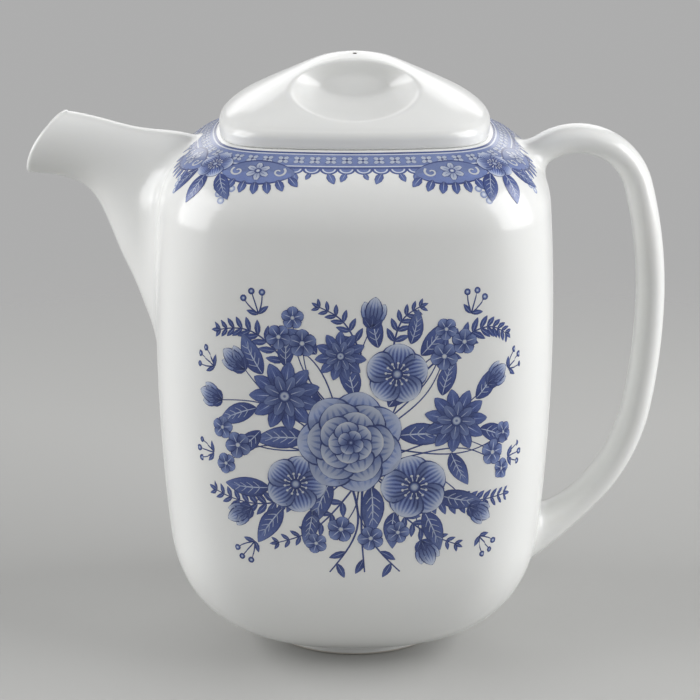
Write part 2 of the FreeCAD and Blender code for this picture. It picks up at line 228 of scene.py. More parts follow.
outer_rows = wall_rows(0, *OUTER_COUNTS)
inner_rows = wall_rows(POT_WALL, *INNER_COUNTS)
seat_rows = edge_rows(SEAT_HALF - EDGE_ROUND, SEAT_CORNER, 60, 90, 5)
mouth_rows = edge_rows(MOUTH_HALF + EDGE_ROUND, MOUTH_CORNER, 90, 180, 6)
mouth_foot = np.array([
    (MOUTH_HALF, SEAT_HEIGHT - POT_WALL, MOUTH_CORNER),
    (MOUTH_HALF + EDGE_ROUND, SEAT_HEIGHT - POT_WALL - EDGE_ROUND / 2, MOUTH_CORNER)])
shoulder_run = run(outer_rows[-1], seat_rows[0], 8)
pot_rows = np.vstack([
    floor_rows(outer_rows[0], 9), outer_rows, shoulder_run, seat_rows,
    run(seat_rows[-1], mouth_rows[0], 4), mouth_rows, mouth_foot,
    run(mouth_foot[-1], inner_rows[-1], 4), inner_rows[::-1], floor_rows(inner_rows[0], 8)[::-1]])
pot = skin("pot_body_porcelain", level_rings(pot_rows, POT_AROUND))

# The opening behind the spout is an oval cut square through the wall, for the strainer.
strainer_low, strainer_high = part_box("strainer")
OPENING_EASE = 0.00005
OPENING_DEPTH = 0.006
oval_turn = full_turn(64)
opening_tall = (strainer_high.z - strainer_low.z) / 2 + OPENING_EASE
opening_y = (strainer_high.y + OPENING_EASE) * np.cos(oval_turn)
opening_z = (strainer_low.z + strainer_high.z) / 2 + opening_tall * np.sin(oval_turn)
opening_ends = (strainer_low.x - OPENING_DEPTH, strainer_high.x + OPENING_DEPTH)
opening_rings = [np.stack([x + 0 * oval_turn, opening_y, opening_z], -1) for x in opening_ends]
pierce(pot, skin("opening_cutter", np.array(opening_rings)))

GLAZE_WHITE = (0.840, 0.842, 0.826, 1)
GLAZE_POOLED = (0.806, 0.815, 0.806, 1)
POOL_SCALE = 34
SPECK_BROWN = (0.22, 0.17, 0.13, 1)
SPECK_SCALE = 62
SPECK_SIZE = 0.020
SPECK_RARITY = 0.955
RIPPLE_SCALE = 95
RIPPLE_STRENGTH = 0.10
RIPPLE_DEPTH = 0.0002
GLAZE_ROUGHNESS = (0.15, 0.22)
GLAZE_IOR = 1.52
GLOW_WEIGHT = 0.30
GLOW_COLOURS = (1.0, 0.98, 0.92)
GLOW_DEPTH = 0.0015


def wire(tree, node, inputs):
    """Gives each named input of a node a value, or another node's output."""
    for name, value in inputs.items():
        if isinstance(value, bpy.types.NodeSocket):
            tree.links.new(value, node.inputs[name])
        else:
            node.inputs[name].default_value = value


def add_node(tree, kind, inputs, output=None, **settings):
    """Adds a node and gives its named output, or the node itself."""
    node = tree.nodes.new(kind)
    for name, value in settings.items():
        setattr(node, name, value)
    wire(tree, node, inputs)
    return node.outputs[output] if output else node


def new_material(name):
    """A material, its tree, its shader, and the object coordinates that its patterns read."""
    material = bpy.data.materials.new(name)
    material.use_nodes = True
    tree = material.node_tree
    tree.nodes.clear()
    shader = add_node(tree, "ShaderNodeBsdfPrincipled", {})
    add_node(tree, "ShaderNodeOutputMaterial", {"Surface": shader.outputs["BSDF"]})
    return material, tree, shader, add_node(tree, "ShaderNodeTexCoord", {}, "Object")


def noise(tree, coordinates, scale, detail=2):
    inputs = {"Vector": coordinates, "Scale": scale, "Detail": detail}
    return add_node(tree, "ShaderNodeTexNoise", inputs, "Fac")


def blend(tree, share, first, second):
    inputs = {"Factor": share, "A": first, "B": second}
    return add_node(tree, "ShaderNodeMix", inputs, "Result", data_type="RGBA")


def reckon(tree, operation, first, second):
    return add_node(tree, "ShaderNodeMath", {0: first, 1: second}, "Value", operation=operation)


def bump(tree, height, strength, depth):
    inputs = {"Height": height, "Strength": strength, "Distance": depth}
    return add_node(tree, "ShaderNodeBump", inputs, "Normal")


def carry(tree, value, low, high, start=0, end=1, **settings):
    """Carries a value over from between start and end to between low and high."""
    inputs = {"Value": value, "From Min": start, "From Max": end, "To Min": low, "To Max": high}
    return add_node(tree, "ShaderNodeMapRange", inputs, "Result", **settings)


def glaze_tint(tree, coordinates):
    """Slight pooling of the glaze over the white body, with a rare pinhead speck of iron."""
    tint = blend(tree, noise(tree, coordinates, POOL_SCALE, 3), GLAZE_WHITE, GLAZE_POOLED)
    cells = add_node(tree, "ShaderNodeTexVoronoi", {"Vector": coordinates, "Scale": SPECK_SCALE})
    lot = add_node(tree, "ShaderNodeSeparateColor", {"Color": cells.outputs["Color"]}, "Red")
    near = reckon(tree, "LESS_THAN", cells.outputs["Distance"], SPECK_SIZE)
    rare = reckon(tree, "GREATER_THAN", lot, SPECK_RARITY)
    return blend(tree, reckon(tree, "MULTIPLY", near, rare), tint, SPECK_BROWN)


def glaze_gloss(tree, shader, coordinates):
    """Gloss of fired glaze: a soft ripple left by dipping, and a roughness that drifts a little."""
    ripple = noise(tree, coordinates, RIPPLE_SCALE, 1)
    wire(tree, shader, {
        "Normal": bump(tree, ripple, RIPPLE_STRENGTH, RIPPLE_DEPTH),
        "Roughness": carry(tree, ripple, *GLAZE_ROUGHNESS), "IOR": GLAZE_IOR,
        "Subsurface Weight": GLOW_WEIGHT, "Subsurface Radius": GLOW_COLOURS,
        "Subsurface Scale": GLOW_DEPTH})


porcelain_glaze, tree, shader, coordinates = new_material("glazed_porcelain")
wire(tree, shader, {"Base Color": glaze_tint(tree, coordinates)})
glaze_gloss(tree, shader, coordinates)
pot.data.materials.append(porcelain_glaze)
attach(pot, "pot")
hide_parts("pot_body")

# Strainer: the pierced oval of wall behind the spout, which holds back the grounds.
# Its holes are punched in the soft clay before firing, and it is glazed with the pot.
frame["nodes"]["strainer"].material_slots[0].material = porcelain_glaze

# Foot ring: a round standing ring under the bowl, run into it with a small hollow curve.
# It is glazed too, but the edge that it stands on is wiped bare before firing.
foot_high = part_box("foot_ring")[1]
FOOT_RADIUS = foot_high.x
FOOT_WIDTH = 0.0045
FOOT_ROUND = 0.0013
FOOT_SWEEP = 0.0015
FOOT_SUNK = 0.0005
WIPED_HEIGHT = 0.0009
FOOT_AROUND = 160
BARE_WHITE = (0.72, 0.69, 0.64, 1)
BARE_GREY = (0.58, 0.54, 0.48, 1)
BARE_ROUGHNESS = 0.75
GRIT_SCALE = 900
GRIT_STRENGTH = 0.4
GRIT_DEPTH = 0.0001


def round_rings(radius, height, around):
    """Level circles round the axis, one for each radius and height."""
    turn = full_turn(around)
    return ring_points(np.array(radius)[:, None] + 0 * turn, turn, np.array(height)[:, None])


quarter = np.radians(np.linspace(0, 90, 7))
rising, falling = 1 - np.cos(quarter), 1 - np.sin(quarter)
inner_rim = FOOT_RADIUS - FOOT_WIDTH
foot_top = foot_high.z + FOOT_SUNK
foot_radius = [inner_rim, *(inner_rim + FOOT_ROUND * rising), *(FOOT_RADIUS - FOOT_ROUND * falling),
               *(FOOT_RADIUS + FOOT_SWEEP * rising), FOOT_RADIUS + FOOT_SWEEP]
foot_height = [foot_top, *(FOOT_ROUND * falling), *(FOOT_ROUND * rising),
               *(foot_high.z - FOOT_SWEEP * falling), foot_top]
foot = skin("foot_ring_porcelain", round_rings(foot_radius, foot_height, FOOT_AROUND), looped=True)
bare_porcelain, tree, shader, coordinates = new_material("bare_foot")
grit = noise(tree, coordinates, GRIT_SCALE, 4)
wire(tree, shader, {"Base Color": blend(tree, grit, BARE_WHITE, BARE_GREY),
                    "Normal": bump(tree, grit, GRIT_STRENGTH, GRIT_DEPTH), "Roughness": BARE_ROUGHNESS})
foot.data.materials.append(bare_porcelain)
foot.data.materials.append(porcelain_glaze)
for face in foot.data.polygons:
    face.material_index = 0 if face.center.z < WIPED_HEIGHT else 1
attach(foot, "pot")
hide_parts("foot_ring")

# Spout: a hollow cast horn, broad at the pot and drawn to a beak with a convex lip.
# It is luted to the pot in the clay, so its root sweeps into the wall without an edge.
# Each station is the middle's x and z, the lean in degrees, and half the height and width.
SPOUT_STATIONS = np.array([
    (-0.0430, 0.1180, 9.5, 0.0426, 0.0250),
    (-0.0528, 0.1264, 10.7, 0.0365, 0.0215),
    (-0.0614, 0.1387, 15.0, 0.0266, 0.0168),
    (-0.0677, 0.1452, 16.0, 0.0208, 0.0134),
    (-0.0742, 0.1529, 19.7, 0.0142, 0.0106),
    (-0.0812, 0.1582, 23.3, 0.0109, 0.0092),
    (-0.0903, 0.1608, 27.0, 0.0107, 0.0088),
    (-0.0990, 0.1616, 33.0, 0.0116, 0.0090)])
SPOUT_POWER = 2.0
LIP_MIDDLE = np.array([-0.0743, 0, 0.1475])
LIP_RADIUS = 0.0288
LIP_ROUND = 0.0011
ROOT_WALL = 0.0030
LIP_WALL = 0.0022
SIDE_SWEEP = 0.0080
TOP_SWEEP = 0.0022
SEAM_DEPTH = 0.000025
ROOT_SUNK = 0.0008
CHANNEL_SUNK = 0.0006
SPOUT_AROUND = 112
TUBE_SAMPLES = 600
NECK_PLACE = 0.66 * TUBE_SAMPLES
BEAK_END = TUBE_SAMPLES - 1


def smooth_through(values, place):
    """Smooth curve through evenly numbered values, read at places between them."""
    count = len(values)
    bend = np.eye(count)
    pull = np.zeros(count)
    for row in range(1, count - 1):
        bend[row, row - 1:row + 2] = (1, 4, 1)
        pull[row] = 6 * (values[row + 1] - 2 * values[row] + values[row - 1])
    curve = np.linalg.solve(bend, pull)
    left = np.clip(place.astype(int), 0, count - 2)
    after = place - left
    before = 1 - after
    line = before * values[left] + after * values[left + 1]
    return line + ((before ** 3 - before) * curve[left] + (after ** 3 - after) * curve[left + 1]) / 6


def close_in(low, high, short, halvings=26):
    """Halves the span between low and high until it closes on where a place stops being short."""
    for _ in range(halvings):
        place = (low + high) / 2
        still = short(place)
        low = np.where(still, place, low)
        high = np.where(still, high, place)
    return low


def tube_row(tube, place):
    """A tube is its rows of x, z, lean, half height and half width, and the power of its oval."""
    return [np.interp(place, np.arange(len(row)), row) for row in tube[0]]


def tube_point(tube, place, turn):
    """Point on a tube's skin at a place along it and a turn round its section."""
    x, z, lean, tall, wide = tube_row(tube, place)
    power = tube[1]
    across = np.abs(np.sin(turn) / wide) ** power
    reach = (np.abs(np.cos(turn) / tall) ** power + across) ** (-1 / power)
    upright = reach * np.cos(turn)
    return np.stack([x + upright * np.sin(lean), reach * np.sin(turn), z + upright * np.cos(lean)], -1)


def tube_rings(tube, turn, start, end, count):
    return [tube_point(tube, start + (end - start) * share, turn) for share in np.linspace(0, 1, count)]


def tube_field(tube):
    """Field that is below zero inside a tube and above zero outside it."""
    def field(points):
        def behind(place):
            x, z, lean, _, _ = tube_row(tube, place)
            return (z - points[:, 2]) * np.sin(lean) - (x - points[:, 0]) * np.cos(lean) < 0
        start = np.zeros(len(points))
        x, z, lean, tall, wide = tube_row(tube, close_in(start, start + len(tube[0][0]) - 1, behind))
        upright = (points[:, 0] - x) * np.sin(lean) + (points[:, 2] - z) * np.cos(lean)
        power = tube[1]
        across = np.abs(points[:, 1] / wide) ** power
        return (np.abs(upright / tall) ** power + across) ** (1 / power) - 1
    return field


def pot_field(points):
    """Field of the pot's outside: the distance out from its wall at the same height."""
    wall = np.vstack([outer_rows, shoulder_run, seat_rows])
    half, corner = (np.interp(points[:, 2], wall[:, 1], wall[:, column]) for column in (0, 2))
    turn = np.arctan2(points[:, 1], points[:, 0])
    return np.hypot(points[:, 0], points[:, 1]) - soft_square(turn, half, corner)


def gap_and_way(field, points):
    """Distance from a field's skin and the way straight out from it, at each point."""
    nudge = 0.0002
    slope = np.stack([(field(points + step) - field(points - step)) / (2 * nudge)
                      for step in np.eye(3) * nudge], -1)
    steep = np.linalg.norm(slope, axis=-1)
    return field(points) / steep, slope / steep[:, None]


def pot_gap(points):
    return gap_and_way(pot_field, points)[0]


def lip_gap(points):
    return np.hypot(points[:, 0] - LIP_MIDDLE[0], points[:, 2] - LIP_MIDDLE[2])


def place_where(tube, turn, inside, outside, measure, goal):
    """Places along a tube where a measure of its skin's points reaches a goal."""
    return close_in(0 * turn + inside, 0 * turn + outside,
                    lambda place: measure(tube_point(tube, place, turn)) < goal)


def likeness(pot_way, tube_way):
    """How nearly two ways are the same, as the cosine between them."""
    return np.clip((pot_way * tube_way).sum(-1), -0.99, 0.99)


def sweep_gap(tube, turn, inside, outside, reach):
    """Gap from the pot at which a hollow sweep that reaches so far along both skins begins."""
    meeting = tube_point(tube, place_where(tube, turn, inside, outside, pot_gap, 0), turn)
    alike = likeness(gap_and_way(pot_field, meeting)[1], gap_and_way(tube_field(tube), meeting)[1])
    spread = np.sqrt(1 - alike ** 2)
    for _ in range(3):
        spread = (np.roll(spread, 1) + 2 * spread + np.roll(spread, -1)) / 4
    return reach * spread


def swept_root(ring, tube, sweep, count):
    """Rings that carry a tube's skin on to the pot in one hollow sweep and on under its glaze."""
    field = tube_field(tube)
    goals = []
    for share in np.linspace(1, -1, count):
        both = (1 - abs(share)) ** 2 / 4
        sunk = SEAM_DEPTH * (1 - share) / 2
        goals.append((sweep * (both + max(share, 0)) - sunk, sweep * (both + max(-share, 0))))
    goals += [(-SEAM_DEPTH * (1 + step ** 2), sweep * (1 + 0.08 * step)) for step in (1, 2, 3)]
    goals.append((-ROOT_SUNK, sweep * 1.3))
    rings = []
    for pot_goal, tube_goal in goals:
        for _ in range(5):
            from_pot, pot_way = gap_and_way(pot_field, ring)
            from_tube, tube_way = gap_and_way(field, ring)
            alike = likeness(pot_way, tube_way)
            pot_short = (pot_goal - from_pot) / (1 - alike ** 2)
            tube_short = (tube_goal - from_tube) / (1 - alike ** 2)
            ring = (ring + (pot_short - alike * tube_short)[:, None] * pot_way
                    + (tube_short - alike * pot_short)[:, None] * tube_way)
        rings.append(ring)
    return rings


station_place = np.linspace(0, len(SPOUT_STATIONS) - 1, TUBE_SAMPLES)
horn_rows = np.array([smooth_through(column, station_place) for column in SPOUT_STATIONS.T])
horn_rows[2] = np.radians(horn_rows[2])
horn = (horn_rows, SPOUT_POWER)
horn_wall = np.linspace(ROOT_WALL, LIP_WALL, TUBE_SAMPLES)
channel = (np.vstack([horn_rows[:3], horn_rows[3:] - horn_wall]), SPOUT_POWER)
horn_turn = full_turn(SPOUT_AROUND)
spout_reach = SIDE_SWEEP + (TOP_SWEEP - SIDE_SWEEP) * np.maximum(np.cos(horn_turn), 0) ** 2
spout_sweep = sweep_gap(horn, horn_turn, 0, NECK_PLACE, spout_reach)
horn_root = place_where(horn, horn_turn, 0, NECK_PLACE, pot_gap, spout_sweep)
channel_root = place_where(channel, horn_turn, 0, NECK_PLACE, pot_gap, -CHANNEL_SUNK)
horn_lip, channel_lip = (place_where(tube, horn_turn, NECK_PLACE, BEAK_END, lip_gap,
                                     LIP_RADIUS - LIP_ROUND) for tube in (horn, channel))
horn_rings = tube_rings(horn, horn_turn, horn_root, horn_lip, 72)
channel_rings = tube_rings(channel, horn_turn, channel_lip, channel_root, 44)
root_rings = swept_root(horn_rings[0], horn, spout_sweep, 18)
rim_middle = (horn_rings[-1] + channel_rings[0]) / 2
rim_half = (horn_rings[-1] - channel_rings[0]) / 2
rim_out = (rim_middle - LIP_MIDDLE) * np.array([1, 0, 1])
rim_out *= LIP_ROUND / np.linalg.norm(rim_out, axis=-1)[:, None]
rim_rings = [rim_middle + rim_half * math.cos(turn) + rim_out * math.sin(turn)
             for turn in np.radians((22, 45, 68, 90, 112, 135, 158))]
spout = skin("spout_porcelain", np.array(root_rings[:0:-1] + horn_rings + rim_rings + channel_rings),
             looped=True)
spout.data.materials.append(porcelain_glaze)
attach(spout, "pot")
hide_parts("spout")

# Handle: a cast strap, oval in section, on a chain of tangent arcs from shoulder to bowl.
# It thickens at the foot and is luted to the pot with the same hollow sweep as the spout.
HANDLE_REACH = 0.0945
HANDLE_WIDEST = 0.110
UPPER_RADIUS = 0.138
LOWER_RADIUS = 0.200
TOP_RADIUS = 0.020
BEND_RADIUS = 0.060
TOP_TURN = 16
BEND_TURN = -10
HANDLE_ENDS = (-70, 156)
HANDLE_THICK = 0.0088
HANDLE_DEEP = 0.0155
HANDLE_POWER = 2.25
HANDLE_FLARE = 0.0036
SIDE_FLARE = 0.6
FLARE_TURN = -42
FLARE_SPAN = 24
LOW_ROOT_SWEEP = 0.0050
TOP_ROOT_SWEEP = 0.0044
HANDLE_AROUND = 64
STRAP_MIDDLE = TUBE_SAMPLES // 2
STRAP_END = TUBE_SAMPLES - 1


def arc_after(arc, radius, turn):
    """Arc, as its centre's x and z and its radius, that carries on from another without a kink."""
    step = arc[2] - radius
    turn = math.radians(turn)
    return (arc[0] + step * math.cos(turn), arc[1] + step * math.sin(turn), radius)


def length_along(points):
    """Length of a line of points from its start to each of them."""
    return np.concatenate([[0], np.linalg.norm(np.diff(points, axis=0), axis=1).cumsum()])


upper_arc = (HANDLE_REACH - UPPER_RADIUS, HANDLE_WIDEST, UPPER_RADIUS)
lower_arc = (HANDLE_REACH - LOWER_RADIUS, HANDLE_WIDEST, LOWER_RADIUS)
strap_arcs = np.array([arc_after(lower_arc, BEND_RADIUS, BEND_TURN), lower_arc, upper_arc,
                       arc_after(upper_arc, TOP_RADIUS, TOP_TURN)])
strap_turn = np.linspace(*HANDLE_ENDS, TUBE_SAMPLES)
arc_x, arc_z, arc_radius = strap_arcs[np.searchsorted((BEND_TURN, 0, TOP_TURN), strap_turn)].T
flare = np.maximum(0, (FLARE_TURN - strap_turn) / FLARE_SPAN) ** 2 * HANDLE_FLARE
strap_lean = np.radians(strap_turn)
strap_rows = np.array([arc_x + arc_radius * np.cos(strap_lean), arc_z + arc_radius * np.sin(strap_lean),
                       math.pi / 2 - strap_lean, HANDLE_THICK / 2 + flare,
                       HANDLE_DEEP / 2 + SIDE_FLARE * flare])
strap = (strap_rows, HANDLE_POWER)
lower_half = (strap_rows[:, :STRAP_MIDDLE], HANDLE_POWER)
upper_half = (strap_rows[:, STRAP_MIDDLE:], HANDLE_POWER)
section_turn = full_turn(HANDLE_AROUND)
low_sweep = sweep_gap(lower_half, section_turn, 0, STRAP_MIDDLE - 1, LOW_ROOT_SWEEP)
top_sweep = sweep_gap(upper_half, section_turn, STRAP_END - STRAP_MIDDLE, 0, TOP_ROOT_SWEEP)
low_place = place_where(strap, section_turn, 0, STRAP_MIDDLE, pot_gap, low_sweep)
top_place = place_where(strap, section_turn, STRAP_END, STRAP_MIDDLE, pot_gap, top_sweep)
arc_length = length_along(strap_rows[:2].T)
sample = np.arange(TUBE_SAMPLES)
low_length, top_length = (np.interp(place, sample, arc_length) for place in (low_place, top_place))
strap_rings = [tube_point(strap, np.interp(length, arc_length, sample), section_turn)
               for length in np.linspace(low_length, top_length, 170)]
low_rings = swept_root(strap_rings[0], lower_half, low_sweep, 14)
top_rings = swept_root(strap_rings[-1], upper_half, top_sweep, 14)
handle = skin("handle_porcelain", np.array(low_rings[:0:-1] + strap_rings + top_rings[1:]))
handle.data.materials.append(porcelain_glaze)
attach(handle, "pot")
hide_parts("handle")

# Printed bouquet: a cobalt transfer on the front and the back of the pot, drawn in tints
# and fine lines as from an engraved plate. It is slid on wet and fired into the glaze,
# so every patch of ink is a film that follows the wall. Its drawings are in millimetres.
MM = 0.001
INK_FILM = 0.000018
INK_LAYER = 0.0000020
SUNK_LAYERS = 110
INK_SPACING = 1.0
LINE_INK = 0.97
STEM_INK = 0.95
NO_LINE = -1
VEIN_HALF = 0.035
VEIN_FADE = 0.08
EDGE_FADE = 1.4
COLUMN_GAP = 0.1
STROKE_THINNING = 0.45
drawings = {}


def add_patch(motif, x, z, ink, layer, wrapped=False):
    """Adds a grid of ink to a motif, with a rim that sinks in the glaze and a closed back."""
    drawing = drawings.setdefault(motif, {"points": [], "faces": [], "ink": [], "layer": []})
    index = len(drawing["points"]) + np.arange(x.size).reshape(x.shape)
    if wrapped:
        rim = index[0]
        columns = np.hstack([index, index[:, :1]])
        drawing["faces"].append(index[-1].tolist())
    else:
        rim = np.concatenate([index[0, :-1], index[:-1, -1], index[-1, :0:-1], index[:0:-1, 0]])
        columns = index
    sunk = index[-1, -1] + 1 + np.arange(len(rim))
    place = rim - index[0, 0]
    flat = MM * np.stack([x, 0 * x, z], -1).reshape(-1, 3)
    ink = (ink + 0 * x).ravel()
    drawing["points"] += flat.tolist() + flat[place].tolist()
    drawing["ink"] += ink.tolist() + ink[place].tolist()
    drawing["layer"] += [layer] * x.size + [layer - SUNK_LAYERS] * len(rim)
    quads = np.stack([columns[:-1, :-1], columns[:-1, 1:], columns[1:, 1:], columns[1:, :-1]], -1)
    walls = np.stack([np.roll(rim, -1), rim, sunk, np.roll(sunk, -1)], -1)
    drawing["faces"] += quads.reshape(-1, 4).tolist() + walls.tolist() + [sunk[::-1].tolist()]


def add_blade(motif, root, turn, length, width, tones, full=1.0, tip=0.8, veins=(), rib=None,
              edge=0.16, bend=0.0, layer=0.0, rows=9):
    """Adds a petal or leaf with a dark edge, veins and a rib, growing from its root at a turn."""
    lines = dict.fromkeys(veins, LINE_INK)
    if rib is not None:
        lines[0] = rib
    columns = []
    fade = 1 - edge * EDGE_FADE
    for hand in (-1, 1):
        columns += [(hand, LINE_INK), (hand * (1 - edge), LINE_INK), (hand * fade, NO_LINE)]
    for vein, line in lines.items():
        columns += [(vein - VEIN_FADE, NO_LINE), (vein - VEIN_HALF, line), (vein + VEIN_HALF, line),
                    (vein + VEIN_FADE, NO_LINE)]
    for place in np.linspace(-1, 1, round(width / INK_SPACING) + 2)[1:-1]:
        if min(abs(place - column[0]) for column in columns) > COLUMN_GAP:
            columns.append((place, NO_LINE))
    columns.sort(key=lambda column: column[0])
    place, line = np.array(columns).T[:, None]
    along = (1 - np.cos(np.linspace(0, math.pi, rows)[:, None])) / 2
    half = width / 2 * np.maximum(np.sin(math.pi * along ** full), 0.003) ** tip
    up = along * length + 0 * place
    side = place * half + bend * length * along ** 2
    tone = tones[0] + (tones[1] - tones[0]) * along + 0 * place
    inner = np.abs(place) < 1 - edge * 1.2
    faded = line + (tone - line) * np.clip(along * 2.4 - 1.2, 0, 1)
    ink = np.where(line < 0, tone, np.where(inner, faded, line))
    ink[-1] = LINE_INK
    sine, cosine = math.sin(turn), math.cos(turn)
    add_patch(motif, root[0] + side * cosine + up * sine, root[1] + up * cosine - side * sine, ink, layer)


def add_disc(motif, middle, radius, inks, layer, sides=12):
    """Adds a round spot whose ink runs from its middle to its rim."""
    turn = full_turn(sides)[None, :]
    reach = np.linspace(radius, 0.1 * radius, len(inks))[:, None]
    add_patch(motif, middle[0] + reach * np.cos(turn), middle[1] + reach * np.sin(turn),
              np.array(inks[::-1])[:, None], layer, True)


def add_stroke(motif, points, width, ink, layer, steps=8):
    """Adds a pen line along a smooth path, thinner towards its end."""
    place = np.linspace(0, len(points) - 1, steps * (len(points) - 1) + 1)
    x, z = (smooth_through(column, place) for column in np.array(points, float).T)
    way = np.stack([np.gradient(x), np.gradient(z)])
    way /= np.linalg.norm(way, axis=0)
    half_x, half_z = (way * width / 2 * (1 - STROKE_THINNING * place / place[-1]))[..., None]
    sides = np.array([1, -1])
    add_patch(motif, x[:, None] - sides * half_z, z[:, None] + sides * half_x, ink, layer)


def add_ring(motif, count, length, width, tones, start=0.0, layer=0.0, step=0.8, middle=(0, 0), **shape):
    """Adds a whorl of petals round a middle, each lying a little over the one before."""
    for number, turn in enumerate(full_turn(count)):
        add_blade(motif, middle, start + turn, length, width, tones, layer=layer + step * number, **shape)


PETAL = {"full": 1.4, "tip": 0.55}
RAY = {"full": 1.2, "tip": 0.7}
LEAF_LENGTH = 15
MIDDLE = (0, 0)
for count, length, width, tones, start, layer, veins, edge, rows in (
        (7, 15, 13.8, (1.10, 0.24), 0.0, 0, (-0.5, -0.2, 0.15, 0.5), 0.07, 18),
        (6, 12.2, 12.2, (1.20, 0.12), 0.4, 8.6, (-0.5, -0.15, 0.2, 0.5), 0.08, 16),
        (5, 9.2, 10.4, (1.25, 0.05), 0.1, 16, (-0.4, 0, 0.4), 0.09, 14),
        (5, 6.3, 7.4, (1.20, 0.03), 0.7, 22.2, (-0.3, 0.3), 0.10, 11),
        (4, 3.7, 4.6, (1.10, 0.08), 0.3, 28.4, (0,), 0.13, 9)):
    add_ring("rose", count, length, width, tones, start, layer, 1.2, veins=veins, edge=edge,
             rows=rows, **PETAL)
add_disc("rose", MIDDLE, 1.1, (0.25, 0.95, 0.97), 33.4)

add_ring("wild_rose", 5, 9.4, 10.4, (1.05, 0.14), veins=(-0.6, -0.36, -0.12, 0.12, 0.36, 0.6),
         edge=0.08, rows=12, **PETAL)
add_disc("wild_rose", MIDDLE, 2, (0.15, 0.30, 0.97, 0.97), 5)
for turn in full_turn(12):
    way = np.array([math.sin(turn), math.cos(turn)])
    add_stroke("wild_rose", [1.8 * way, 2.6 * way, 3.3 * way], 0.3, 0.1, 5.5, 2)
    add_disc("wild_rose", 3.4 * way, 0.42, (0.05, 0.1), 6, 6)

add_ring("daisy", 11, 10, 4.4, (0.99, 0.72), veins=(-0.4, 0.4), rib=0.2, edge=0.13, rows=8, **RAY)
add_ring("daisy", 8, 6.2, 3.4, (0.99, 0.52), 0.3, 9, rib=0.15, edge=0.15, rows=7, **RAY)
add_disc("daisy", MIDDLE, 1.9, (0.65, 0.15, 0.25, 0.97, 0.97), 16)

add_ring("blossom", 5, 4.3, 4.3, (1.00, 0.45), rib=0.15, edge=0.15, rows=7, **PETAL)
add_disc("blossom", MIDDLE, 1, (0.05, 0.1, 0.97), 4.5, 8)

for turn, length, width, layer in ((-0.40, 8.5, 4.4, 0), (0.40, 8.5, 4.4, 0.8),
                                   (0, 9.8, 5.8, 1.6)):
    add_blade("bud", MIDDLE, turn, length, width, (1.05, 0.10), full=1.1, tip=0.65,
              veins=(-0.4, 0, 0.4), edge=0.12, layer=layer)
for turn in (-0.75, 0, 0.75):
    add_blade("bud", (0, -0.5), turn, 4.6, 2.6, (0.97, 0.85), rib=0.4, edge=0.2, layer=3, rows=6)

for name, bend in (("left_leaf", -0.14), ("right_leaf", 0.14)):
    add_blade(name, MIDDLE, 0, LEAF_LENGTH, 6.8, (0.99, 0.66), full=0.85, rib=0.15, edge=0.10,
              bend=bend, rows=13)
    for height in (3.2, 5.4, 7.6, 9.8):
        rib_x = bend * height ** 2 / LEAF_LENGTH
        for hand in (-1, 1):
            reach = hand * 2 * (1.25 - height / LEAF_LENGTH)
            add_stroke(name, [(rib_x, height), (rib_x + reach / 2, height + 0.8),
                              (rib_x + reach, height + 2)], 0.35, 0.28, 0.8, 2)

add_blade("leaflet", MIDDLE, 0, 6.2, 2.6, (0.99, 0.78), full=0.9, rib=0.35, edge=0.15, bend=0.1,
          rows=7)
add_disc("berry", MIDDLE, 1.1, (0.12, 0.55, 0.95, 0.97), 0, 10)

# The bouquet is laid out from its own middle, as a loose fan that rises from crossed stems.
BOUQUET_X = 1.8
BOUQUET_Z = 82.5
LEAFLET_LIFT = 2
placed = []


def place_motif(motif, x, z, turn=0.0, size=1.0, lift=0.0):
    placed.append((motif, x, z, math.radians(turn), size, lift))


def add_stem(x, z, sag):
    """Thin stem from behind the middle flowers out to a place, with a sag to one side."""
    bend = (0.65 * x - sag * z, 0.65 * z + sag * x)
    add_stroke("stems", [(0.25 * x, 0.25 * z - 2), bend, (x, z)], 0.5, STEM_INK, 0)


def add_spray(points, pairs, size):
    """Pen line with leaflets in pairs along it, smaller towards the tip."""
    add_stroke("stems", points, 0.6, STEM_INK, 0)
    place = np.linspace(0.18, 1, pairs) * (len(points) - 1)
    x, z = (smooth_through(column, place) for column in np.array(points, float).T)
    heading = np.degrees(np.arctan2(np.gradient(x), np.gradient(z)))
    for number in range(pairs):
        shrink = size * (1 - 0.5 * number / pairs)
        for side in (-48, 48):
            place_motif("leaflet", x[number], z[number], heading[number] + side, shrink, LEAFLET_LIFT)
    place_motif("leaflet", x[-1], z[-1], heading[-1], size * 0.6, LEAFLET_LIFT)


def add_sprig(x, z, turn):
    """Three berries on a short forked stem with two leaflets."""
    heading = math.radians(turn)
    way = np.array([math.sin(heading), math.cos(heading)])
    side = np.array([way[1], -way[0]])
    root = np.array([x, z]) - 3 * way
    for spread in (-1, 0, 1):
        tip = root + 6.2 * way * (1.15 - 0.2 * abs(spread)) + 3 * side * spread
        add_stroke("stems", [root, (root + tip) / 2 + 0.4 * side * spread, tip], 0.5, STEM_INK, 0)
        place_motif("berry", *tip, 0, 0.95, 9)
    for lean in (-62, 62):
        place_motif("leaflet", *root, turn + lean, 0.62, LEAFLET_LIFT)


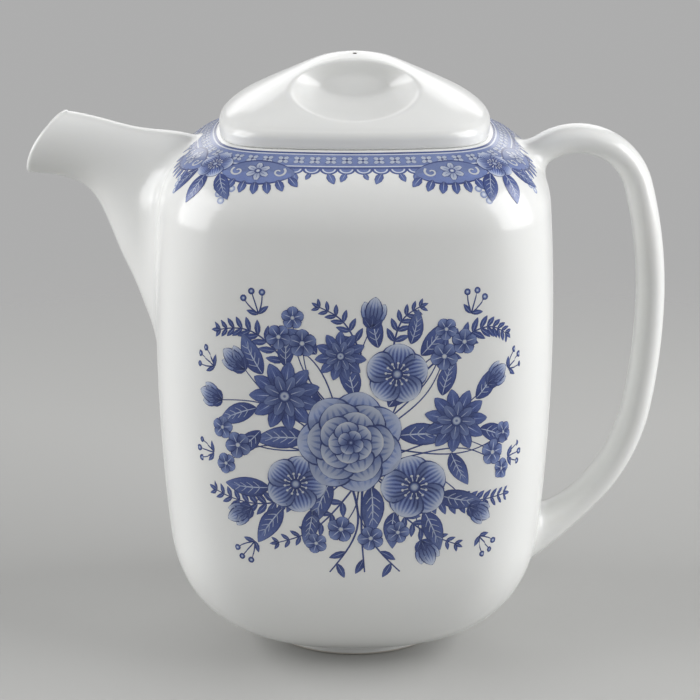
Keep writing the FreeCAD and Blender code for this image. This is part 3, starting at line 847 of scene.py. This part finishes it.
place_motif("rose", -3, 1, 12, 1.06, 52)
for motif, lift, x, z, turn, size in (
        ("wild_rose", 45, 16, -13.5, -14, 1.08), ("wild_rose", 45, -19.5, -12.5, 20, 0.98),
        ("wild_rose", 45, 10.5, 22, 5, 0.98), ("daisy", 28, -22.5, 15, 8, 1.08),
        ("daisy", 28, 28.5, 7, -10, 1.0), ("daisy", 28, -6, 27.5, 0, 0.76)):
    place_motif(motif, x, z, turn, size, lift)
for number, (x, z, size) in enumerate((
        (-17.2, 31.2, 1.0), (-24.2, 33, 0.9), (-20, 38.8, 0.8), (24.5, 27, 1.0), (30.6, 31.2, 0.92),
        (25, 35.2, 0.8), (41.2, -4, 1.0), (45.5, 2, 0.85), (45.5, -9.8, 0.8), (-37.2, -1, 1.0),
        (-42.4, 4.2, 0.85), (-41.5, -7.2, 0.8), (-6, -27, 1.0), (3, -30, 0.95), (11.2, -28.2, 0.85),
        (-13.5, -31.8, 0.8))):
    add_stem(x, z, 0.10 * (-1) ** number)
    place_motif("blossom", x, z, 37 * number, size, 13 + 5 * (number % 3))
for number, (x, z, turn) in enumerate((
        (-34.5, 22.8, -50), (38.5, 18, 56), (3, 36.2, 8), (-33.5, -21.2, -118), (33.5, -21, 120),
        (-42.5, 12.8, -74), (18.5, -31.5, 156))):
    add_stem(x, z, 0.08 * (-1) ** number)
    place_motif("bud", x, z, turn, 0.92, 9.5)
for number, (x, z, turn, size) in enumerate((
        (-12, 12, -48, 1.05), (8, 12, 35, 1.0), (-16, 2, -85, 1.05), (11, 3, 84, 1.05),
        (-9, -11, -152, 1.0), (3, -13, 172, 1.05), (-2, 15, -8, 0.9), (-29, 21.5, -35, 0.9),
        (-31, 11, -104, 0.9), (-22, 24, -4, 0.75), (34.5, 13.5, 46, 0.85), (36, 4, 104, 0.85),
        (27, -3, 160, 0.8), (24, 15, 10, 0.8), (23.5, -16.5, 110, 0.95), (19, -21.5, 150, 0.95),
        (10, -21.5, -170, 0.8), (-27.5, -14, -96, 0.95), (-23.5, -20.5, -138, 0.95),
        (-14.5, -20.5, -176, 0.8), (17.5, 27.5, 46, 0.85), (5, 30, -16, 0.75), (14.5, 31, 20, 0.7),
        (-30, 4, -140, 0.8), (-13, 28, -40, 0.75))):
    place_motif(("left_leaf", "right_leaf")[number % 2], x, z, turn, size, 3 + 1.2 * (number % 5))
for pairs, size, *points in (
        (10, 0.95, (-14, -14), (-30, -19.5), (-45.5, -16.5)),
        (10, 0.95, (14, -16), (31, -19), (47, -18.5)),
        (9, 0.9, (-18, 20), (-30.5, 33.5), (-42.5, 34.5)),
        (10, 0.9, (18, 22), (34.5, 34.5), (45.5, 33)),
        (6, 0.75, (0, 28), (-5, 37.5), (-12, 42)),
        (6, 0.75, (9, 28), (11.5, 37.5), (17, 42)),
        (7, 0.8, (-1.5, -12.5), (-13, -26.2), (-25, -32)),
        (7, 0.8, (10, -20), (19, -28), (29, -33))):
    add_spray(points, pairs, size)
for start, end in ((-3, -9.5), (0.5, 1.2), (4, 12)):
    add_stroke("stems", [(start, -12), (start * 0.4, -27), (end, -41.5)], 0.8, STEM_INK, 0)
for x, z, turn in (
        (-4.5, -34.5, -118), (5.8, -34.5, 116), (0.8, -37, -160), (-7.3, -38.5, 150),
        (9.2, -38.5, -158)):
    place_motif("leaflet", x, z, turn, 0.9, LEAFLET_LIFT)
for x, z, turn in (
        (-47.5, 24.5, -60), (49.5, 23.5, 55), (-34.5, -34.5, -140), (39.5, -33.5, 138), (-49, -4, -84),
        (51.5, -6, 84), (-31, 42.5, -18), (33.5, 42.5, 16)):
    add_sprig(x, z, turn)
place_motif("stems", 0, 0)


def press_tree():
    """Node tree that sets numbered motifs on marked points and presses them on to the pot."""
    tree = bpy.data.node_groups.new("press_print", "GeometryNodeTree")
    inputs = {}
    for name, kind in (("Points", "Geometry"), ("Motifs", "Collection"), ("Pot", "Object"),
                       ("Ground", "Object"), ("Film", "Float"), ("Layer", "Float"), ("Ink", "Material")):
        socket = tree.interface.new_socket(name, in_out="INPUT", socket_type=f"NodeSocket{kind}")
        inputs[name] = socket.identifier
    tree.interface.new_socket("Print", in_out="OUTPUT", socket_type="NodeSocketGeometry")
    given = add_node(tree, "NodeGroupInput", {}).outputs

    def named(name, kind):
        return add_node(tree, "GeometryNodeInputNamedAttribute", {"Name": name}, "Attribute", data_type=kind)

    library = add_node(tree, "GeometryNodeCollectionInfo", {
        "Collection": given["Motifs"], "Separate Children": True, "Reset Children": True}, "Instances")
    stand = add_node(tree, "FunctionNodeAxesToRotation", {
        "Primary Axis": named("inward", "FLOAT_VECTOR"),
        "Secondary Axis": named("across", "FLOAT_VECTOR")}, "Rotation", primary_axis="Y", secondary_axis="X")
    spin = add_node(tree, "FunctionNodeAxisAngleToRotation", {
        "Axis": (0, 1, 0), "Angle": named("turn", "FLOAT")}, "Rotation")
    turned = add_node(tree, "FunctionNodeRotateRotation", {"Rotation": stand, "Rotate By": spin},
                      "Rotation", rotation_space="LOCAL")
    repeat = add_node(tree, "GeometryNodeInstanceOnPoints", {
        "Points": given["Points"], "Instance": library, "Pick Instance": True,
        "Instance Index": named("kind", "INT"), "Rotation": turned,
        "Scale": named("size", "FLOAT")}, "Instances")
    real = add_node(tree, "GeometryNodeRealizeInstances", {"Geometry": repeat}, "Geometry")
    wall = add_node(tree, "GeometryNodeObjectInfo", {"Object": given["Pot"]}, "Geometry")
    nearest = add_node(tree, "GeometryNodeProximity", {"Geometry": wall}, "Position", target_element="FACES")
    normal = add_node(tree, "GeometryNodeInputNormal", {}, "Normal")
    outward = add_node(tree, "GeometryNodeSampleNearestSurface", {"Mesh": wall, "Value": normal}, "Value",
                       data_type="FLOAT_VECTOR")
    layers = reckon(tree, "ADD", named("layer", "FLOAT"), named("lift", "FLOAT"))
    height = reckon(tree, "ADD", given["Film"], reckon(tree, "MULTIPLY", layers, given["Layer"]))
    rise = add_node(tree, "ShaderNodeVectorMath", {0: outward, "Scale": height}, "Vector", operation="SCALE")
    settled = add_node(tree, "ShaderNodeVectorMath", {0: nearest, 1: rise}, "Vector", operation="ADD")
    pressed = add_node(tree, "GeometryNodeSetPosition", {"Geometry": real, "Position": settled}, "Geometry")
    ground = add_node(tree, "GeometryNodeObjectInfo", {"Object": given["Ground"]}, "Geometry")
    joined = add_node(tree, "GeometryNodeJoinGeometry", {"Geometry": ground})
    wire(tree, joined, {"Geometry": pressed})
    inked = add_node(tree, "GeometryNodeSetMaterial", {
        "Geometry": joined.outputs["Geometry"], "Material": given["Ink"]}, "Geometry")
    add_node(tree, "NodeGroupOutput", {"Print": inked})
    return tree, inputs


press_print, press_inputs = press_tree()

INK_TONES = ((0.0, GLAZE_WHITE), (0.15, (0.58, 0.64, 0.78, 1)), (0.5, (0.200, 0.265, 0.515, 1)),
             (0.8, (0.072, 0.108, 0.305, 1)), (1.0, (0.031, 0.049, 0.185, 1)))
GRAIN_SCALE = 2600
MOTTLE_SCALE = 160
STIPPLE_SPAN = (0.6, 1.4)
INK_UNEVEN = (0.84, 1.10)
cobalt_print, tree, shader, coordinates = new_material("cobalt_transfer")
strength = add_node(tree, "ShaderNodeAttribute", {}, "Fac", attribute_name="ink")
stipple = reckon(tree, "ADD", noise(tree, coordinates, GRAIN_SCALE), noise(tree, coordinates, MOTTLE_SCALE))
laid = reckon(tree, "MULTIPLY", strength, carry(tree, stipple, *INK_UNEVEN, *STIPPLE_SPAN))
ramp = add_node(tree, "ShaderNodeValToRGB", {"Fac": laid})
for place, colour in INK_TONES[1:-1]:
    ramp.color_ramp.elements.new(place)
for element, (place, colour) in zip(ramp.color_ramp.elements, INK_TONES):
    element.position = place
    element.color = colour
wire(tree, shader, {"Base Color": ramp.outputs["Color"]})
glaze_gloss(tree, shader, coordinates)

SHARP_ANGLE = math.radians(30)
motifs = bpy.data.collections.new("print_motifs")


def note(mesh, key, kind, values):
    """Notes a value for each point of a mesh, for the node tree or the ink to read."""
    field = "vector" if kind == "FLOAT_VECTOR" else "value"
    mesh.attributes.new(key, kind, "POINT").data.foreach_set(field, np.array(values).ravel().tolist())


def cut_motifs():
    """Makes a numbered mesh of each drawing that has none yet, for the print to repeat."""
    for number, (motif, drawing) in list(enumerate(drawings.items()))[len(motifs.objects):]:
        mesh = bpy.data.meshes.new(motif)
        mesh.from_pydata(drawing["points"], [], drawing["faces"])
        for key in ("ink", "layer"):
            note(mesh, key, "FLOAT", drawing[key])
        motifs.objects.link(bpy.data.objects.new(f"motif_{number:02d}_{motif}", mesh))


def print_on_pot(name, marks, layer, ground=None):
    """Presses marks on the pot as one film of ink with its edge sunk in the glaze."""
    cut_motifs()
    motif, at, inward, across, turn, size, lift = zip(*marks)
    mesh = bpy.data.meshes.new(name)
    mesh.from_pydata(at, [], [])
    note(mesh, "kind", "INT", [list(drawings).index(each) for each in motif])
    for key, values in (("inward", inward), ("across", across)):
        note(mesh, key, "FLOAT_VECTOR", values)
    for key, values in (("turn", turn), ("size", size), ("lift", lift)):
        note(mesh, key, "FLOAT", values)
    piece = add_object(name, mesh)
    press = piece.modifiers.new("press", "NODES")
    press.node_group = press_print
    for key, value in (("Motifs", motifs), ("Pot", pot), ("Ground", ground), ("Film", INK_FILM),
                       ("Layer", layer), ("Ink", cobalt_print)):
        if value is not None:
            press[press_inputs[key]] = value
    as_plain_mesh(piece)
    piece.data.shade_smooth()
    piece.data.set_sharp_from_angle(angle=SHARP_ANGLE)
    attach(piece, "pot")


for name, facing in (("front_bouquet", -1), ("back_bouquet", 1)):
    print_on_pot(name, [
        (motif, (-facing * MM * (BOUQUET_X + x), facing * BELLY_HALF, MM * (BOUQUET_Z + z)),
         (0, -facing, 0), (-facing, 0, 0), turn, size, lift)
        for motif, x, z, turn, size, lift in placed], INK_LAYER)

# Printed border: a cobalt transfer round the shoulder under the lid, fired with the bouquets.
# Its band carries a chain of florets, a scalloped hem, hanging leaves, and scrolls with a
# flower over each corner.
BAND_ROWS = ((0.0006, 0.95), (0.0013, 0.95), (0.0014, 0.10), (0.0018, 0.10), (0.0019, 0.64),
             (0.0044, 0.56), (0.0068, 0.64), (0.0069, 0.10), (0.0073, 0.10), (0.0074, 0.90),
             (0.0084, 0.90))
BAND_AROUND = 480
BORDER_LAYER = 0.000006
BAND_SUNK = 0.00012
SCALLOPS = 68
HEM_DROP = 0.0083
FLORET_DROP = 0.0043
CORNER_ZONE = 0.024
FIRST_SHOULDER_ROW = 60
shoulder_line = np.vstack([outer_rows[FIRST_SHOULDER_ROW:], shoulder_run, seat_rows[:1]])[::-1]
shoulder_drop = length_along(shoulder_line[:, :2])
border_marks = []


def on_shoulder(turn, drop):
    """Points on the shoulder by turn round the pot and drop from the edge of the seat."""
    half, height, corner = (np.interp(drop, shoulder_drop, column) for column in shoulder_line.T)
    return ring_points(soft_square(turn, half, corner), turn, height)


def shoulder_mark(motif, turn, drop, spin=0.0, size=1.0, lift=0.0):
    """Adds a motif to the border, upright on the shoulder at a turn and a drop from the seat."""
    nudge = 0.0005
    at, right, left = on_shoulder(turn + nudge * np.array([0, 1, -1]), drop)
    above, below = (on_shoulder(np.array([turn]), drop + step)[0] for step in (-nudge, nudge))
    across = (right - left) / np.linalg.norm(right - left)
    upward = (above - below) / np.linalg.norm(above - below)
    inward = np.cross(upward, across)
    border_marks.append((motif, at, inward, across, math.radians(spin), size, lift))


arch = np.linspace(0, math.pi, 13)[None, :]
reach, ink = np.array([(2.7, 0.85), (2.1, 0.85), (2, 0.12), (1.6, 0.12), (1.5, 0.66),
                       (0.2, 0.66)]).T[..., None]
add_patch("scallop", -reach * np.cos(arch), -reach * np.sin(arch) * 0.85, ink, 0)

add_ring("floret", 4, 2.1, 1.7, (0.10, 0.22), full=1.3, edge=0.12, rows=5)
add_disc("floret", MIDDLE, 0.5, (0.9, 0.9), 3, 6)

add_blade("hanging_leaf", MIDDLE, math.pi, 4.6, 2.6, (0.80, 0.62), full=0.9, rib=0.25, edge=0.14,
          rows=6)

FLOWER_MIDDLE = (0, 0.2)
add_blade("scroll", (-11, 0), math.pi / 2, 22, 10.4, (0.62, 0.58), full=0.95, tip=0.6,
          edge=0.10, rows=20)
add_ring("scroll", 6, 3.8, 2.4, (0.50, 0.04), layer=1, middle=FLOWER_MIDDLE, full=1.3, tip=0.6,
         veins=(0,), edge=0.16, rows=6)
add_disc("scroll", FLOWER_MIDDLE, 1.1, (0.05, 0.12, 0.95, 0.95), 6.5, 10)
spiral = np.linspace(1, 0.18, 12)
for hand in (-1, 1):
    turn = hand * (math.pi * 2.5 * spiral + 0.9)
    curl_x = hand * 6.2 + 2.1 * spiral * np.sin(turn)
    curl_z = FLOWER_MIDDLE[1] - 2.1 * spiral * np.cos(turn)
    add_stroke("scroll", np.stack([curl_x, curl_z], 1), 0.7, 0.06, 1, 4)
for number, lean in enumerate(np.linspace(-1, 1, 7)):
    add_blade("scroll", (9.5 * lean, -4 + 2.4 * lean ** 2), math.pi - 0.75 * lean, 4.6, 2.7,
              (0.95, 0.62), full=0.9, rib=0.12, edge=0.13, layer=1.5 + 0.5 * number, rows=6)

for place in ((-2.6, 0), (0, 0.4), (2.6, 0), (-1.4, -2.3), (1.3, -2.4), (0, -4.6)):
    add_disc("pale_cluster", place, 1.3, (0.06, 0.16, 0.40, 0.42), 0, 9)

band_rings = np.array([on_shoulder(full_turn(BAND_AROUND), drop) for drop, _ in BAND_ROWS])
band_index = np.arange(band_rings[..., 0].size).reshape(band_rings.shape[:2])
band_after = np.roll(band_index, -1, 1)
band_faces = np.stack([band_index[1:], band_after[1:], band_after[:-1], band_index[:-1]], -1)
band_mesh = bpy.data.meshes.new("shoulder_band")
band_mesh.from_pydata(band_rings.reshape(-1, 3).tolist(), [], band_faces.reshape(-1, 4).tolist())
note(band_mesh, "ink", "FLOAT", np.repeat([ink for _, ink in BAND_ROWS], BAND_AROUND))
band_out = bmesh.new()
band_out.from_mesh(band_mesh)
band_out.normal_update()
for point in band_out.verts:
    point.co += point.normal * INK_FILM
band_out.to_mesh(band_mesh)
band_out.free()
band = add_object("shoulder_band", band_mesh)
band_film = band.modifiers.new("film", "SOLIDIFY")
band_film.thickness = BAND_SUNK
band_film.offset = -1
as_plain_mesh(band)

fine_turn = np.linspace(-math.pi, math.pi, 4001)
hem_length = length_along(on_shoulder(fine_turn, HEM_DROP))
hem_whole = hem_length[-1]


def turn_at(length):
    """Turn round the pot at a length along the hem."""
    return float(np.interp(length % hem_whole, hem_length, fine_turn))


corner_lengths = np.interp(np.radians((-135, -45, 45, 135)), fine_turn, hem_length)
for number in range(SCALLOPS):
    length = hem_whole * (number + 0.5) / SCALLOPS
    turn = turn_at(length)
    shoulder_mark("scallop", turn, HEM_DROP, 0, 1.0, 1)
    shoulder_mark("floret", turn, FLORET_DROP, 45, 1.0, 2)
    from_corners = np.abs((length - corner_lengths + hem_whole / 2) % hem_whole - hem_whole / 2)
    if from_corners.min() > CORNER_ZONE:
        shoulder_mark("hanging_leaf", turn, HEM_DROP + 0.0017, 24 * (-1) ** number,
                      1.0 - 0.18 * (number % 3), 3)
for corner in corner_lengths:
    for side in (-1, 1):
        shoulder_mark("scroll", turn_at(corner + side * 0.0150), HEM_DROP + 0.0016, 0, 1.0, 6)
        shoulder_mark("left_leaf", turn_at(corner + side * 0.0045), HEM_DROP + 0.0035, 180 - side * 30,
                      0.72, 15)
        shoulder_mark("pale_cluster", turn_at(corner + side * 0.0085), HEM_DROP + 0.0082, 0, 0.9, 4)
    shoulder_mark("right_leaf", turn_at(corner), HEM_DROP + 0.0040, 180, 0.78, 17)
    shoulder_mark("wild_rose", turn_at(corner), HEM_DROP + 0.0004, 0, 0.62, 19)
print_on_pot("shoulder_border", border_marks, BORDER_LAYER, band)
bpy.data.objects.remove(band)
for motif in list(motifs.objects):
    bpy.data.objects.remove(motif)
bpy.data.collections.remove(motifs)

# Lid: a low tent of cast porcelain with an upright edge band, drawn to a soft crest.
# A finger scoop hollows its front and back, so that the crest between them is the grip,
# and a pinhole beside the crest lets the steam out. It lies loose on the seat.
lid_low, lid_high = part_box("lid_cover")
LID_HALF = lid_high.x
LID_RISE = 0.0235
LID_CREASE = 0.0036
LID_SLOPE = np.array([(0, 0.99), (0.214, 0.925), (0.405, 0.79), (0.655, 0.575), (0.87, 0.37), (1, 0.19)])
CREASE_SHARE = 0.87
CREST_ROOM = 0.00002
EDGE_ROUNDNESS = 0.33
PEAK_ROUNDNESS = 0.83
LID_AROUND = 384
LID_BOTTOM_ROUND = 0.0008
UNDER_INSET = 0.004
CAVITY_HALF = 0.0315
CAVITY_LIP = 0.002
LIP_RISE = 0.0002
CAVITY_RISE = 0.00984
CAVITY_FOOT = 0.0022
CAVITY_ROUNDNESS = 0.4
SCOOP_WALL = 0.0095
SCOOP_HALF = 0.0105
SCOOP_TALL = 0.0033
SCOOP_HEIGHT = 0.1804
SCOOP_OPENING = 0.0075
SCOOP_OPENED = (0.0108, 0.0068, 0.0048)
SCOOP_SPREAD = (0.23, 0.20, 0.165)
SCOOP_DEEPEST = 0.045
SCOOP_TILT = math.tan(math.radians(26))
SCOOP_BROW = 0.28
SCOOP_PLUNGE = (0.78, -0.62)
VENT_RADIUS = 0.0007
VENT_FRONT = 0.0030
CUTTER_ROOM = 0.002
lid_base = lid_low.z
lid_crest = lid_high.z


def slope_height(share):
    """Height of the tent above its seat at a share of its half size, from crest to edge."""
    place = np.linspace(0, len(LID_SLOPE) - 1, 400)
    shares, heights = (smooth_through(column, place) for column in LID_SLOPE.T)
    return np.interp(share, shares, heights) * LID_RISE


crease_fall = slope_height(CREASE_SHARE) - slope_height(1.0)
crease_lean = math.atan2(crease_fall, (1 - CREASE_SHARE) * LID_HALF)
crease_z = slope_height(1.0) + LID_CREASE * (math.tan(crease_lean) - 1 / math.cos(crease_lean))
crease_turn = np.linspace(0, math.pi / 2 - crease_lean, 9)
crease_half = LID_HALF - LID_CREASE * (1 - np.cos(crease_turn))
slope_share = np.linspace(crease_half[-1] / LID_HALF, 0.02, 92)[1:]
bottom_turn = np.radians(np.linspace(-90, 0, 5))
lid_half_rows = np.concatenate([LID_HALF - LID_BOTTOM_ROUND * (1 - np.cos(bottom_turn)),
                                np.full(3, LID_HALF), crease_half, slope_share * LID_HALF])
lid_height_rows = np.concatenate([
    LID_BOTTOM_ROUND * (1 + np.sin(bottom_turn)), run(LID_BOTTOM_ROUND, crease_z, 3),
    crease_z + LID_CREASE * np.sin(crease_turn), slope_height(slope_share)])
lid_height_rows = np.minimum(lid_height_rows, lid_crest - lid_base - CREST_ROOM)
lid_roundness = PEAK_ROUNDNESS + (EDGE_ROUNDNESS - PEAK_ROUNDNESS) * lid_half_rows / LID_HALF
top_rows = np.stack([lid_half_rows, lid_base + lid_height_rows, lid_half_rows * lid_roundness], 1)
lid_top = level_rings(top_rows, LID_AROUND)


def scoop_section(out):
    """Half width, half height and middle height of a scoop at a run out from its flat wall."""
    out = np.maximum(out, 0)
    opened = 1 - np.exp(-out / SCOOP_OPENING)
    return (start + more * opened + spread * out for start, more, spread in zip(
        (SCOOP_HALF, SCOOP_TALL, SCOOP_HEIGHT), SCOOP_OPENED, SCOOP_SPREAD))


def in_scoop(points):
    """Whether points lie in a scoop, whose flat wall is tilted and rises to a steeper brow."""
    x, y, z = np.moveaxis(points, -1, 0)
    above = z - SCOOP_HEIGHT
    out = np.abs(y) - SCOOP_WALL + np.clip(above, -SCOOP_TALL, SCOOP_TALL) * SCOOP_TILT
    out = out + np.maximum(above - SCOOP_TALL, 0) * SCOOP_BROW
    wide, tall, middle = scoop_section(out)
    return (out > 0) & ((x / wide) ** 2 + ((z - middle) / tall) ** 2 < 1)


def softened(values, passes):
    """Values on a grid of rings, averaged with their neighbours along and across the rings."""
    for _ in range(passes):
        values = (np.roll(values, 1, 1) + 2 * values + np.roll(values, -1, 1)) / 4
        padded = np.vstack([values[:1], values, values[-1:]])
        values = (padded[:-2] + 2 * values + padded[2:]) / 4
    return values


facing = np.sign(lid_top[..., 1])
plunge = np.stack([0 * facing, -facing * SCOOP_PLUNGE[0], 0 * facing + SCOOP_PLUNGE[1]], -1)
scoop_depth = close_in(0 * facing, 0 * facing + SCOOP_DEEPEST,
                       lambda depth: in_scoop(lid_top + depth[..., None] * plunge))
scoop_depth = softened(np.where(in_scoop(lid_top), scoop_depth, 0), 4)
lid_top = lid_top + scoop_depth[..., None] * plunge

cavity_share = np.linspace(1, 0.03, 30)
cavity_half = np.concatenate([[LID_HALF - UNDER_INSET, CAVITY_HALF + CAVITY_LIP, CAVITY_HALF],
                              cavity_share * CAVITY_HALF])
cavity_rise = np.concatenate([[0, 0, LIP_RISE], CAVITY_FOOT + CAVITY_RISE * (1 - cavity_share ** 2)])
under_rows = np.stack([cavity_half, lid_base + cavity_rise, cavity_half * CAVITY_ROUNDNESS], 1)
lid_under = level_rings(under_rows, LID_AROUND)
under_x, under_y, under_z = np.moveaxis(lid_under, -1, 0)
under_out = np.abs(under_y) - SCOOP_WALL
scoop_wide, scoop_tall, scoop_middle = scoop_section(under_out)
under_share = under_x / (scoop_wide + POT_WALL)
bulge = scoop_middle - (scoop_tall + POT_WALL) * np.sqrt(np.maximum(1 - under_share ** 2, 0))
below_scoop = (under_out > -POT_WALL) & (np.abs(under_share) < 1)
under_height = softened(np.where(below_scoop, np.minimum(under_z, bulge), under_z), 3)
lid_under[3:, :, 2] = under_height[3:]
lid = skin("lid_porcelain", np.concatenate([lid_under[::-1], lid_top]))
vent_rings = round_rings([VENT_RADIUS] * 2, [lid_base + CUTTER_ROOM, lid_crest + CUTTER_ROOM], 32)
pierce(lid, skin("vent_cutter", vent_rings - np.array([0, VENT_FRONT, 0])))
lid.data.materials.append(porcelain_glaze)
# The wall of the steam pinhole is painted near-black with a faint mottle. This is painted shade for the
# depth of the hole, not a stain.
VENT_SHADE_DARK = (0.030, 0.026, 0.022, 1)
VENT_SHADE_PALE = (0.085, 0.070, 0.055, 1)
VENT_SHADE_SCALE = 1400
VENT_SHADE_ROUGHNESS = 0.8
vent_shade, tree, shader, coordinates = new_material("vent_painted_shade")
painted_shade = blend(tree, noise(tree, coordinates, VENT_SHADE_SCALE), VENT_SHADE_DARK, VENT_SHADE_PALE)
wire(tree, shader, {"Base Color": painted_shade, "Roughness": VENT_SHADE_ROUGHNESS})
lid.data.materials.append(vent_shade)
# The upright faces round the pinhole take the painted shade.
for face in lid.data.polygons:
    from_vent = math.hypot(face.center.x, face.center.y + VENT_FRONT)
    if from_vent < VENT_RADIUS and abs(face.normal.z) < 0.3:
        face.material_index = 1
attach(lid, "lid")
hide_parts("lid_cover")

# Lid flange: the square porcelain skirt that keeps the lid centred in the mouth.
# It is cast apart, luted under the lid in the clay, and glazed with it.
flange_low, flange_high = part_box("lid_flange")
FLANGE_HALF = flange_high.x
FLANGE_WALL = 0.0037
FLANGE_TAPER = 0.0006
FLANGE_CORNER = 0.0110
FLANGE_ROUND = 0.0010
FLANGE_SUNK = 0.0006
FLANGE_AROUND = 160
flange_turn = np.radians(np.linspace(0, -180, 9))
flange_top = flange_high.z + FLANGE_SUNK
foot_half = (FLANGE_WALL - FLANGE_TAPER) / 2
foot_middle = FLANGE_HALF - FLANGE_TAPER - foot_half
foot_rows = np.stack([foot_middle + foot_half * np.cos(flange_turn),
                      flange_low.z + FLANGE_ROUND * (1 + np.sin(flange_turn)),
                      np.full(len(flange_turn), FLANGE_CORNER)], 1)
flange_rows = np.vstack([(FLANGE_HALF, flange_top, FLANGE_CORNER), foot_rows,
                         (FLANGE_HALF - FLANGE_WALL, flange_top, FLANGE_CORNER - FLANGE_WALL)])
flange = skin("lid_flange_porcelain", level_rings(flange_rows, FLANGE_AROUND), looped=True)
flange.data.materials.append(porcelain_glaze)
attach(flange, "lid")
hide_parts("lid_flange")

# Floor: a round sheet of pale grey paper that fades out into the plain background of the room,
# with a softbox each side, weak ones above and behind, and a little fill from the room.
PAPER_GREY = (0.47, 0.47, 0.46, 1)
PAPER_ROUGHNESS = 0.9
FIBRE_SCALE = 700
FIBRE_STRENGTH = 0.05
FIBRE_DEPTH = 0.0002
FLOOR_RADIUS = 0.8
FADE_START = 0.20
FADE_END = 0.62
floor_mesh = bpy.data.meshes.new("paper_floor")
floor_ring = round_rings([FLOOR_RADIUS], [0], 96)[0].tolist()
floor_mesh.from_pydata(floor_ring, [], [list(range(len(floor_ring)))])
floor = add_object("paper_floor", floor_mesh)
paper, tree, shader, coordinates = new_material("grey_paper")
fibre = bump(tree, noise(tree, coordinates, FIBRE_SCALE), FIBRE_STRENGTH, FIBRE_DEPTH)
from_middle = add_node(tree, "ShaderNodeVectorMath", {0: coordinates}, "Value", operation="LENGTH")
fade = carry(tree, from_middle, 1, 0, FADE_START, FADE_END, interpolation_type="SMOOTHSTEP")
wire(tree, shader, {"Base Color": PAPER_GREY, "Roughness": PAPER_ROUGHNESS, "Normal": fibre, "Alpha": fade})
floor.data.materials.append(paper)

AIM = Vector((0, 0, 0.09))
for name, place, width, height, power in (
        ("right_softbox", (0.97, -0.18, 0.52), 1.00, 0.90, 14.2),
        ("left_softbox", (-0.98, -0.17, 0.52), 1.00, 0.90, 11.7),
        ("top_softbox", (0.0, 0.10, 1.20), 1.0, 0.8, 0.8),
        ("back_softbox", (0.0, 1.10, 0.60), 0.90, 0.70, 2.4)):
    light = bpy.data.lights.new(name, "AREA")
    light.shape = "RECTANGLE"
    light.size = width
    light.size_y = height
    light.energy = power
    lamp = add_object(name, light)
    lamp.location = place
    lamp.rotation_mode = "QUATERNION"
    lamp.rotation_quaternion = (AIM - Vector(place)).to_track_quat("-Z", "Y")

ROOM_FILL = 0.12
ROOM_SEEN = 0.42
room = bpy.data.worlds.new("room")
bpy.context.scene.world = room
room.use_nodes = True
tree = room.node_tree
ray = add_node(tree, "ShaderNodeLightPath", {}).outputs
seen = ray["Is Camera Ray"]
for kind in ("Is Glossy Ray", "Is Transmission Ray"):
    seen = reckon(tree, "MAXIMUM", seen, ray[kind])
wire(tree, tree.nodes["Background"], {
    "Color": (1, 1, 1, 1), "Strength": carry(tree, seen, ROOM_FILL, ROOM_SEEN)})

# Camera: a long lens a little above the pot, square on to its printed side, with the pot
# in the middle of the picture and a little room all round.
LENS = 102.86
SENSOR_WIDTH = 36
CAMERA_PLACE = (-0.00145, -0.6183, 0.2765)
CAMERA_PITCH = 16.5
camera = bpy.data.cameras.new("camera")
camera.lens = LENS
camera.sensor_width = SENSOR_WIDTH
view = add_object("camera", camera)
view.location = CAMERA_PLACE
view.rotation_euler = (math.radians(90 - CAMERA_PITCH), 0, 0)
bpy.context.scene.camera = view
bpy.context.scene.view_settings.view_transform = "Standard"
